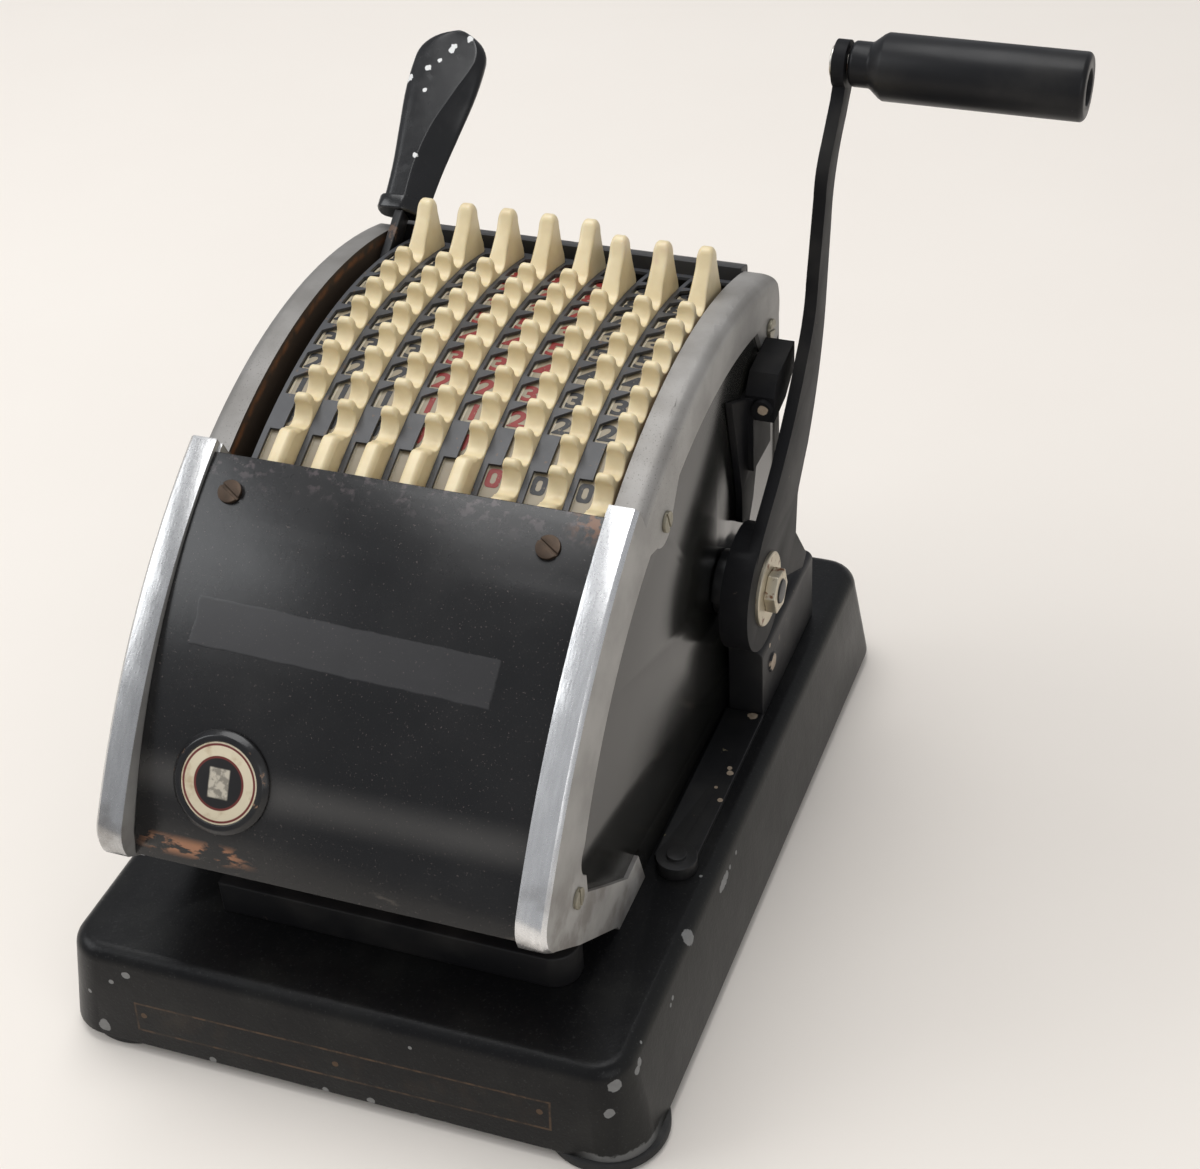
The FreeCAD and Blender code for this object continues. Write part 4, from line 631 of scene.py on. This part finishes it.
def rack_mesh(node, x, forward):
    """One rack: the node's own web, arm and hub under a smooth ridge and flange."""
    form = bmesh.new()
    form.from_mesh(node.data)
    bmesh.ops.remove_doubles(form, verts=form.verts, dist=1e-6)
    top = [f for f in form.faces
           if any(math.hypot(v.co.y - PIVOT_Y, v.co.z - PIVOT_Z) > RIDGE_R0 + 0.1 * MM for v in f.verts)]
    bmesh.ops.delete(form, geom=top, context="FACES")
    outline = ridge_outline()
    slices, count = [], 7
    for k in range(-count, count + 1):
        across = math.sin(math.pi / 2 * k / count)
        side = max(0.0, abs(across) * RIDGE_HALF - (RIDGE_HALF - SIDE_ROUND))
        amount = SIDE_ROUND - math.sqrt(max(0.0, SIDE_ROUND ** 2 - side ** 2))
        bend = max(0.0, (abs(across) - TONGUE_FLAT) / (1 - TONGUE_FLAT))
        drop = TONGUE * (1 - math.sqrt(1 - (0.98 * bend) ** 2))
        row = []
        for length, r in inset(outline, amount):
            low = SCOOP_R + 1.2 * MM
            if r > low:
                crest = FIN_R if length > (LAST_HOOK - 0.6) * math.radians(STEP) * SCOOP_R else HOOK_R
                r = low + (r - low) * (crest - drop - low) / (crest - low)
            phi = EDGE_PHI + math.degrees(length / SCOOP_R) - forward
            half = RIDGE_HALF - TAPER * min(1.0, max(0.0, (r - low) / (4 * MM)))
            row.append(form.verts.new(polar(x + RIDGE_X + across * half, r, phi)))
        slices.append(row)
    ridge = []
    for left, right in zip(slices, slices[1:]):
        for k in range(len(left)):
            ridge.append(form.faces.new((left[k - 1], left[k], right[k], right[k - 1])))
    caps = [form.faces.new(slices[0]), form.faces.new(slices[-1][::-1])]
    rows = []
    for k in range(45):
        phi = RACK_FRONT + (EDGE_PHI + 11 * STEP - RACK_FRONT) * k / 44 - forward
        x0, x1 = x - 3.2 * MM - FLANGE_W, x
        chamfer = 0.25 * MM
        section = [(x0, FLANGE_R - FLANGE_T), (x0, FLANGE_R - chamfer), (x0 + chamfer, FLANGE_R), (x1, FLANGE_R),
                   (x1, FLANGE_R - FLANGE_T)]
        rows.append([form.verts.new(polar(a, r, phi)) for a, r in section])
    for low, high in zip(rows, rows[1:]):
        for k in range(5):
            form.faces.new((low[k - 1], low[k], high[k], high[k - 1]))
    form.faces.new(rows[0])
    form.faces.new(rows[-1][::-1])
    for face in ridge:
        face.smooth = True
    bmesh.ops.recalc_face_normals(form, faces=form.faces)
    return form


def mask_strip(form, rows):
    """Bent strip of sheet through rows of (phi, left, right)."""
    sections = []
    for phi, left, right in rows:
        corners = ((left, MASK_R), (left, MASK_R + MASK_T), (right, MASK_R + MASK_T), (right, MASK_R))
        sections.append([form.verts.new(polar(x, r, phi)) for x, r in corners])
    for low, high in zip(sections, sections[1:]):
        for k in range(4):
            form.faces.new((low[k - 1], low[k], high[k], high[k - 1]))
    form.faces.new(sections[0])
    form.faces.new(sections[-1][::-1])


def number_masks(look):
    """Slate strips between the racks, notched beside every digit."""
    form = bmesh.new()
    for column in range(COLUMNS):
        x1 = FIRST_X + column * PITCH - 3.2 * MM - MASK_GAP
        x0, side, notch = x1 - MASK_W, x1 - MASK_SPARE, x1 - WINDOW_W
        breaks = [(PAD_PHI[0], x1), (PAD_PHI[1], x1), (PAD_PHI[1] + 0.04, x0 + RAIL_W), (READING_PHI, x0 + RAIL_W),
                  (READING_PHI + 0.04, side)]
        for value in range(1, 10):
            middle = EDGE_PHI + (value + 1 + DIGIT_SHIFT) * STEP
            breaks += [(middle + WINDOW_LOW, side), (middle + WINDOW_LOW + 0.04, notch), (middle + WINDOW_HIGH, notch),
                       (middle + WINDOW_SLANT, side)]
        breaks += [(EDGE_PHI + 11.5 * STEP, side), (EDGE_PHI + 11.5 * STEP + 0.04, x1), (BAR_PHI, x1)]
        rows = []
        for (phi, right), (after, right_after) in zip(breaks, breaks[1:]):
            count = max(1, round((after - phi) / 0.9))
            for k in range(count):
                rows.append((phi + (after - phi) * k / count, x0, right + (right_after - right) * k / count))
        rows.append((BAR_PHI, x0, x1))
        mask_strip(form, rows)
    end = FRAME_INNER_X + SHIFT.x
    rear = [(RACK_REAR + 0.3 + (BAR_PHI - RACK_REAR - 0.3) * k / 2, SHIFT.x - FRAME_INNER_X + 7 * MM, end - 0.3 * MM)
            for k in range(3)]
    mask_strip(form, rear)
    round_edges(add_piece("masks", form, look, "machine", "number_masks"), 0.12 * MM)


def racks(nodes, look):
    """Smooth racks in place of the faceted ones."""
    for column in range(1, COLUMNS + 1):
        name = "key_rack_%d" % column
        form = rack_mesh(nodes[name], FIRST_X + (column - 1) * PITCH, STEP if column >= SET_FROM else 0.0)
        add_piece("smooth_rack_%d" % column, form, look, "rack_%d" % column, name)


def washer(look):
    """Plain washer under the crank's nut, in place of the wider one."""
    low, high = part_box("crank_washer")
    middle = (low + high) / 2
    form = bmesh.new()
    half = (high - low).x / 2
    sections = []
    for k in range(64):
        turn = 2 * math.pi * k / 64
        row = []
        for offset, radius in ((-half, 6.4 * MM), (-half, WASHER_R), (half - 0.3 * MM, WASHER_R), (half, WASHER_R - 0.3 * MM),
                               (half, 6.4 * MM)):
            row.append(form.verts.new(middle + Vector((offset, radius * math.cos(turn), radius * math.sin(turn)))))
        sections.append(row)
    for k in range(64):
        for j in range(5):
            form.faces.new((sections[k - 1][j - 1], sections[k - 1][j], sections[k][j], sections[k][j - 1]))
    add_piece("washer", form, look, "crank", "crank_washer")


def smooth_ring(points, rounds=3):
    """Closed outline with its corners cut again and again."""
    for _ in range(rounds):
        cut = []
        for p, q in zip(points, points[1:] + points[:1]):
            cut += [tuple(a * 0.78 + b * 0.22 for a, b in zip(p, q)), tuple(a * 0.22 + b * 0.78 for a, b in zip(p, q))]
        points = cut
    return points


def paddle_place(u, n, s):
    """Point of the paddle from mm across it, out of its face and along it."""
    a = math.radians(PADDLE_LEAN)
    return at(LEVER_X + u, LEVER_TIP[0] + s * math.cos(a) - n * math.sin(a), LEVER_TIP[1] + s * math.sin(a) + n * math.cos(a))


def paddle_row(s):
    """Left, ridge, right, depth of the right edge and depth of the back at s, in mm."""
    s_in = min(s, PADDLE_ROUND)
    rows = PADDLE
    k = max(i for i in range(len(rows) - 1) if rows[i][0] <= s_in or i == 0)
    share = (s_in - rows[k][0]) / (rows[k + 1][0] - rows[k][0])
    before, after = rows[max(k - 1, 0)], rows[min(k + 2, len(rows) - 1)]
    values = []
    for p0, p1, p2, p3 in list(zip(before, rows[k], rows[k + 1], after))[1:]:
        values.append(p1 + 0.5 * share * (p2 - p0 + share * (2 * p0 - 5 * p1 + 4 * p2 - p3 + share * (3 * (p1 - p2) + p3 - p0))))
    left, ridge, right, drop, back = values
    if s > PADDLE_ROUND:
        shrink = math.sqrt(max(0.0, 1 - ((s - PADDLE_ROUND) / (PADDLE_END - PADDLE_ROUND)) ** 2.3))
        middle = (left + right) / 2 + 0.6 * (1 - shrink)
        left, ridge, right = (middle + (v - middle) * shrink for v in (left, ridge, right))
        drop, back = drop * shrink + back * 0.4 * (1 - shrink), back * (0.62 + 0.38 * shrink)
    return left, ridge, right, drop, back


def lofted(form, rings):
    """Closed skin over rings of points, with both ends filled."""
    skins = [[form.verts.new(p) for p in ring] for ring in rings]
    for low, high in zip(skins, skins[1:]):
        for k in range(len(low)):
            form.faces.new((low[k - 1], low[k], high[k], high[k - 1])).smooth = True
    form.faces.new(skins[0])
    form.faces.new(skins[-1][::-1])


def paddle(look):
    """Smooth moulded handle, spoon-like at its end, with a collar at its foot."""
    form = bmesh.new()

    def ring(s, values, out, rounds):
        left, ridge, right, drop, back = values
        corners = [(left - out, -back - out), (left - out, out - 0.8), (ridge - 0.5, out - 0.03), (ridge + 0.5, out - 0.06),
                   (right + out, -drop), (right + out - 0.6, -back - out)]
        return [paddle_place(u, n, s) for u, n in smooth_ring(corners, rounds)]

    rings = []
    for k in range(57):
        t = k / 56
        s = 1.0 + (PADDLE_END - 1.05) * (t if t < 0.8 else 0.8 + 0.2 * math.sin((t - 0.8) / 0.2 * math.pi / 2))
        rings.append(ring(min(s, PADDLE_END - 0.05), paddle_row(s), 0.0, 3))
    lofted(form, rings)
    foot = paddle_row(1.0)
    lofted(form, [ring(s, foot, out, 2) for s, out in ((0.0, 0.6), (0.4, 1.1), (0.9, 1.3), (4.8, 1.3), (5.3, 1.1), (5.6, 0.4))])
    add_piece("paddle", form, look, "lever", "clearing_lever_paddle")


def lever(node, look):
    """The lever's own shape with its tongue sunk into the paddle's foot."""
    form = bmesh.new()
    form.from_mesh(node.data)
    bmesh.ops.remove_doubles(form, verts=form.verts, dist=1e-6)
    a, tip = math.radians(PADDLE_LEAN), at(LEVER_X, *LEVER_TIP)
    for v in form.verts:
        run, rise = v.co.y - tip.y, v.co.z - tip.z
        if run * math.cos(a) + rise * math.sin(a) > -3 * MM:
            v.co += Vector((0, math.sin(a), -math.cos(a))) * TONGUE_SINK
    piece = add_piece("lever", form, look, "lever", "clearing_lever")
    round_edges(piece, 0.4 * MM)


def add_piece(name, form, look, body, node):
    """Object from a bmesh, riding a body in place of a node."""
    bmesh.ops.recalc_face_normals(form, faces=form.faces)
    mesh = bpy.data.meshes.new(name)
    form.to_mesh(mesh)
    form.free()
    mesh.materials.append(look)
    piece = bpy.data.objects.new(name, mesh)
    bpy.context.scene.collection.objects.link(piece)
    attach(piece, body)
    if node:
        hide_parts(node)
    return piece


def digit_mesh(text, height):
    """Flat bold digit, centred, as a bmesh."""
    curve = bpy.data.curves.new("digit", "FONT")
    curve.body = text
    curve.size = height * 1.38
    curve.offset = height * 0.045
    curve.extrude = 0.03 * MM
    curve.align_x, curve.align_y = "CENTER", "CENTER"
    holder = bpy.data.objects.new("digit", curve)
    bpy.context.scene.collection.objects.link(holder)
    bpy.context.view_layer.update()
    mesh = bpy.data.meshes.new_from_object(holder.evaluated_get(bpy.context.evaluated_depsgraph_get()))
    bpy.data.objects.remove(holder)
    form = bmesh.new()
    form.from_mesh(mesh)
    bpy.data.meshes.remove(mesh)
    xs = [v.co.x for v in form.verts]
    ys = [v.co.y for v in form.verts]
    bmesh.ops.translate(form, vec=(-(min(xs) + max(xs)) / 2, -(min(ys) + max(ys)) / 2, 0), verts=form.verts)
    half_x, half_y = (max(xs) - min(xs)) / 2, (max(ys) - min(ys)) / 2
    for v in form.verts:
        if text == "0":
            u, w = abs(v.co.x / half_x) + 1e-6, abs(v.co.y / half_y) + 1e-6
            swell = math.hypot(u, w) / (u ** 3.4 + w ** 3.4) ** (1 / 3.4)
            v.co.x, v.co.y = v.co.x * swell * 0.84, v.co.y * swell
        v.co.x *= DIGIT_WIDTH
    return form


def digits(column, look):
    """Digits 0 to 9 printed on one rack's flange, each beside its hook."""
    x = FIRST_X + (column - 1) * PITCH + DIGIT_X
    forward = STEP if column >= SET_FROM else 0.0
    whole = bmesh.new()
    for value in range(10):
        phi = EDGE_PHI + (value + 1 + DIGIT_SHIFT) * STEP - forward
        if value == 0:
            phi -= 0.08 * STEP
        form = digit_mesh(str(value), DIGIT_H)
        a = math.radians(phi)
        across, up = Vector((1, 0, 0)), Vector((0, math.sin(a), math.cos(a)))
        out = Vector((0, -math.cos(a), math.sin(a)))
        at = polar(x, FLANGE_R + 0.04 * MM, phi)
        place = Matrix.Translation(at) @ Matrix((across, up, out)).transposed().to_4x4()
        bmesh.ops.transform(form, matrix=place, verts=form.verts)
        part = bpy.data.meshes.new("part")
        form.to_mesh(part)
        whole.from_mesh(part)
        bpy.data.meshes.remove(part)
        form.free()
    mesh = bpy.data.meshes.new("digits_%d" % column)
    whole.to_mesh(mesh)
    whole.free()
    mesh.materials.append(look)
    piece = bpy.data.objects.new("digits_%d" % column, mesh)
    bpy.context.scene.collection.objects.link(piece)
    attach(piece, "rack_%d" % column)
    return piece


# ---------------------------------------------------------------- dressing the nodes
def dress(nodes):
    steel = bright_metal("steel", (0.50, 0.49, 0.47), 0.62, 0.34)
    nickel = bright_metal("nickel", (0.66, 0.63, 0.57), 0.58, 0.26)
    dark_steel = bright_metal("dark_steel", (0.16, 0.14, 0.125), 0.52, 0.40)
    frame_left, frame_right = cast_aluminium(-1), cast_aluminium(1)
    enamel, panel = worn_enamel("black_enamel"), panel_enamel()
    paint, mask, cream, foot = base_paint(), mask_paint(), key_plastic(), rubber()
    handle_black, stem_black = paddle_black(), worn_enamel("lever_black", (0.10, 0.06, 0.04), 0.60, 0.36, 0.3)
    plan = {
        "base_casting": (paint, 0.9), "base_bottom_plate": (paint, 0.3), "rubber_feet": (foot, 0.8),
        "foot_screws": (steel, 0.2), "paper_table": (worn_enamel("table_black", (0.10, 0.08, 0.07), 0.68, 0.34, 0.2), 0.6),
        "platen": (foot, 0.3), "platen_rocker": (steel, 0.2), "platen_push_rod": (steel, 0.2),
        "right_head_frame": (frame_right, 0.7), "left_head_frame": (frame_left, 0.7),
        "right_side_panel": (panel, 0.25), "left_side_panel": (panel, 0.25),
        "front_cover": (cover_paint(), 0.35), "throat_plate": (dark_steel, 0.2),
        "rear_cross_bar": (worn_enamel("bar_black", (0.10, 0.09, 0.08), 0.62, 0.3), 0.4),
        "rear_cover": (enamel, 0.3), "badge_bezel": (worn_enamel("bezel_black", (0.22, 0.13, 0.08), 0.62, 0.16), 0.7),
        "badge": (badge_face(), 0.15), "slotted_screws": (screw_metal(), 0.25), "rack_pivot_shaft": (steel, 0.2),
        "idler_shaft": (steel, 0.2), "type_shaft": (steel, 0.2), "crank_arm": (worn_enamel("arm_black", (0.09, 0.07, 0.055), 0.69, 0.42, 0.10), 0.7),
        "crank_shaft": (enamel, 0.3), "crank_return_spring": (enamel, 0.1), "crank_washer": (nickel, 0.3),
        "crank_nut": (bright_metal("rusty_nut", (0.64, 0.58, 0.46), 0.57, 0.38), 0.5),
        "grip_spindle": (nickel, 0.3), "crank_grip": (worn_enamel("grip_black", (0.05, 0.047, 0.045), 0.70, 0.30, 0.22), 0.5),
        "stop_bracket": (worn_enamel("bracket_black", (0.07, 0.06, 0.05), 0.69, 0.48, 0.07, BRACKET_MARKS), 0.5),
        "bearing_block": (worn_enamel("block_black", (0.12, 0.10, 0.08), 0.66, 0.36, 0.3, BLOCK_MARKS), 0.8),
        "side_channel_cover": (worn_enamel("channel_black", (0.22, 0.19, 0.12), 0.67, 0.34, 0.3, CHANNEL_MARKS), 0.5), "clearing_lever": (stem_black, 0.4), "clearing_lever_paddle": (handle_black, 1.0),
    }
    for i in range(1, COLUMNS + 1):
        plan["idler_gear_%d" % i] = (steel, 0.15)
        plan["type_wheel_%d" % i] = (dark_steel, 0.15)
    for name, (material, width) in plan.items():
        node = nodes[name]
        node.data.materials.clear()
        node.data.materials.append(material)
        round_edges(node, width * MM)
    racks(nodes, cream)
    number_masks(mask)
    washer(bright_metal("washer_nickel", (0.62, 0.56, 0.44), 0.60, 0.36))
    paddle(handle_black)
    lever(nodes["clearing_lever"], stem_black)


# ---------------------------------------------------------------- surroundings
def make_floor():
    mesh = bpy.data.meshes.new("floor")
    mesh.from_pydata([(-4, -4, 0), (4, -4, 0), (4, 4, 0), (-4, 4, 0)], [], [(0, 1, 2, 3)])
    look = Look("floor", 0.7)
    look.colour(look.mix(look.noise(6, 4.0), (0.83, 0.77, 0.70), (0.87, 0.815, 0.745)))
    mesh.materials.append(look.material)
    floor = bpy.data.objects.new("floor", mesh)
    bpy.context.scene.collection.objects.link(floor)


def area_light(name, at, aim, size, power, colour=(1, 1, 1)):
    data = bpy.data.lights.new(name, "AREA")
    data.shape = "RECTANGLE"
    data.size, data.size_y = size
    data.energy = power
    data.color = colour
    lamp = bpy.data.objects.new(name, data)
    lamp.location = at
    lamp.rotation_mode = "QUATERNION"
    lamp.rotation_quaternion = (Vector(at) - Vector(aim)).to_track_quat("Z", "Y")
    bpy.context.scene.collection.objects.link(lamp)


def make_lights():
    world = bpy.data.worlds.new("room")
    bpy.context.scene.world = world
    world.use_nodes = True
    back = world.node_tree.nodes["Background"]
    back.inputs["Color"].default_value = (0.93, 0.95, 1.0, 1)
    back.inputs["Strength"].default_value = 0.42
    aim = (0, 0, 0.1)
    area_light("ceiling", (-0.3, 0.35, 1.9), aim, (1.3, 1.3), 22)
    area_light("window", (-1.3, -0.5, 1.1), aim, (1.0, 0.8), 9, (0.96, 0.98, 1.0))
    area_light("fill", (1.2, -1.1, 0.9), aim, (1.2, 1.0), 5)


def make_camera():
    data = bpy.data.cameras.new("camera")
    data.sensor_width = 36
    data.lens = LENS
    data.shift_x, data.shift_y = SHIFT_U, SHIFT_V
    data.clip_start, data.clip_end = 0.05, 20
    camera = bpy.data.objects.new("camera", data)
    back = CAMERA_RIGHT.cross(CAMERA_UP)
    turn = Matrix((CAMERA_RIGHT, CAMERA_UP, back)).transposed()
    camera.matrix_world = Matrix.Translation(CAMERA_AT) @ turn.to_4x4()
    bpy.context.scene.collection.objects.link(camera)
    bpy.context.scene.camera = camera


# ---------------------------------------------------------------- the scene
def main():
    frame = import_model()
    bpy.context.scene.view_settings.view_transform = "Standard"
    dress(frame["nodes"])
    black, red = ink("ink_black", (0.02, 0.02, 0.022)), ink("ink_red", (0.25, 0.018, 0.014))
    for column in range(1, COLUMNS + 1):
        digits(column, red if column in RED_COLUMNS else black)
    make_floor()
    make_lights()
    make_camera()


main()
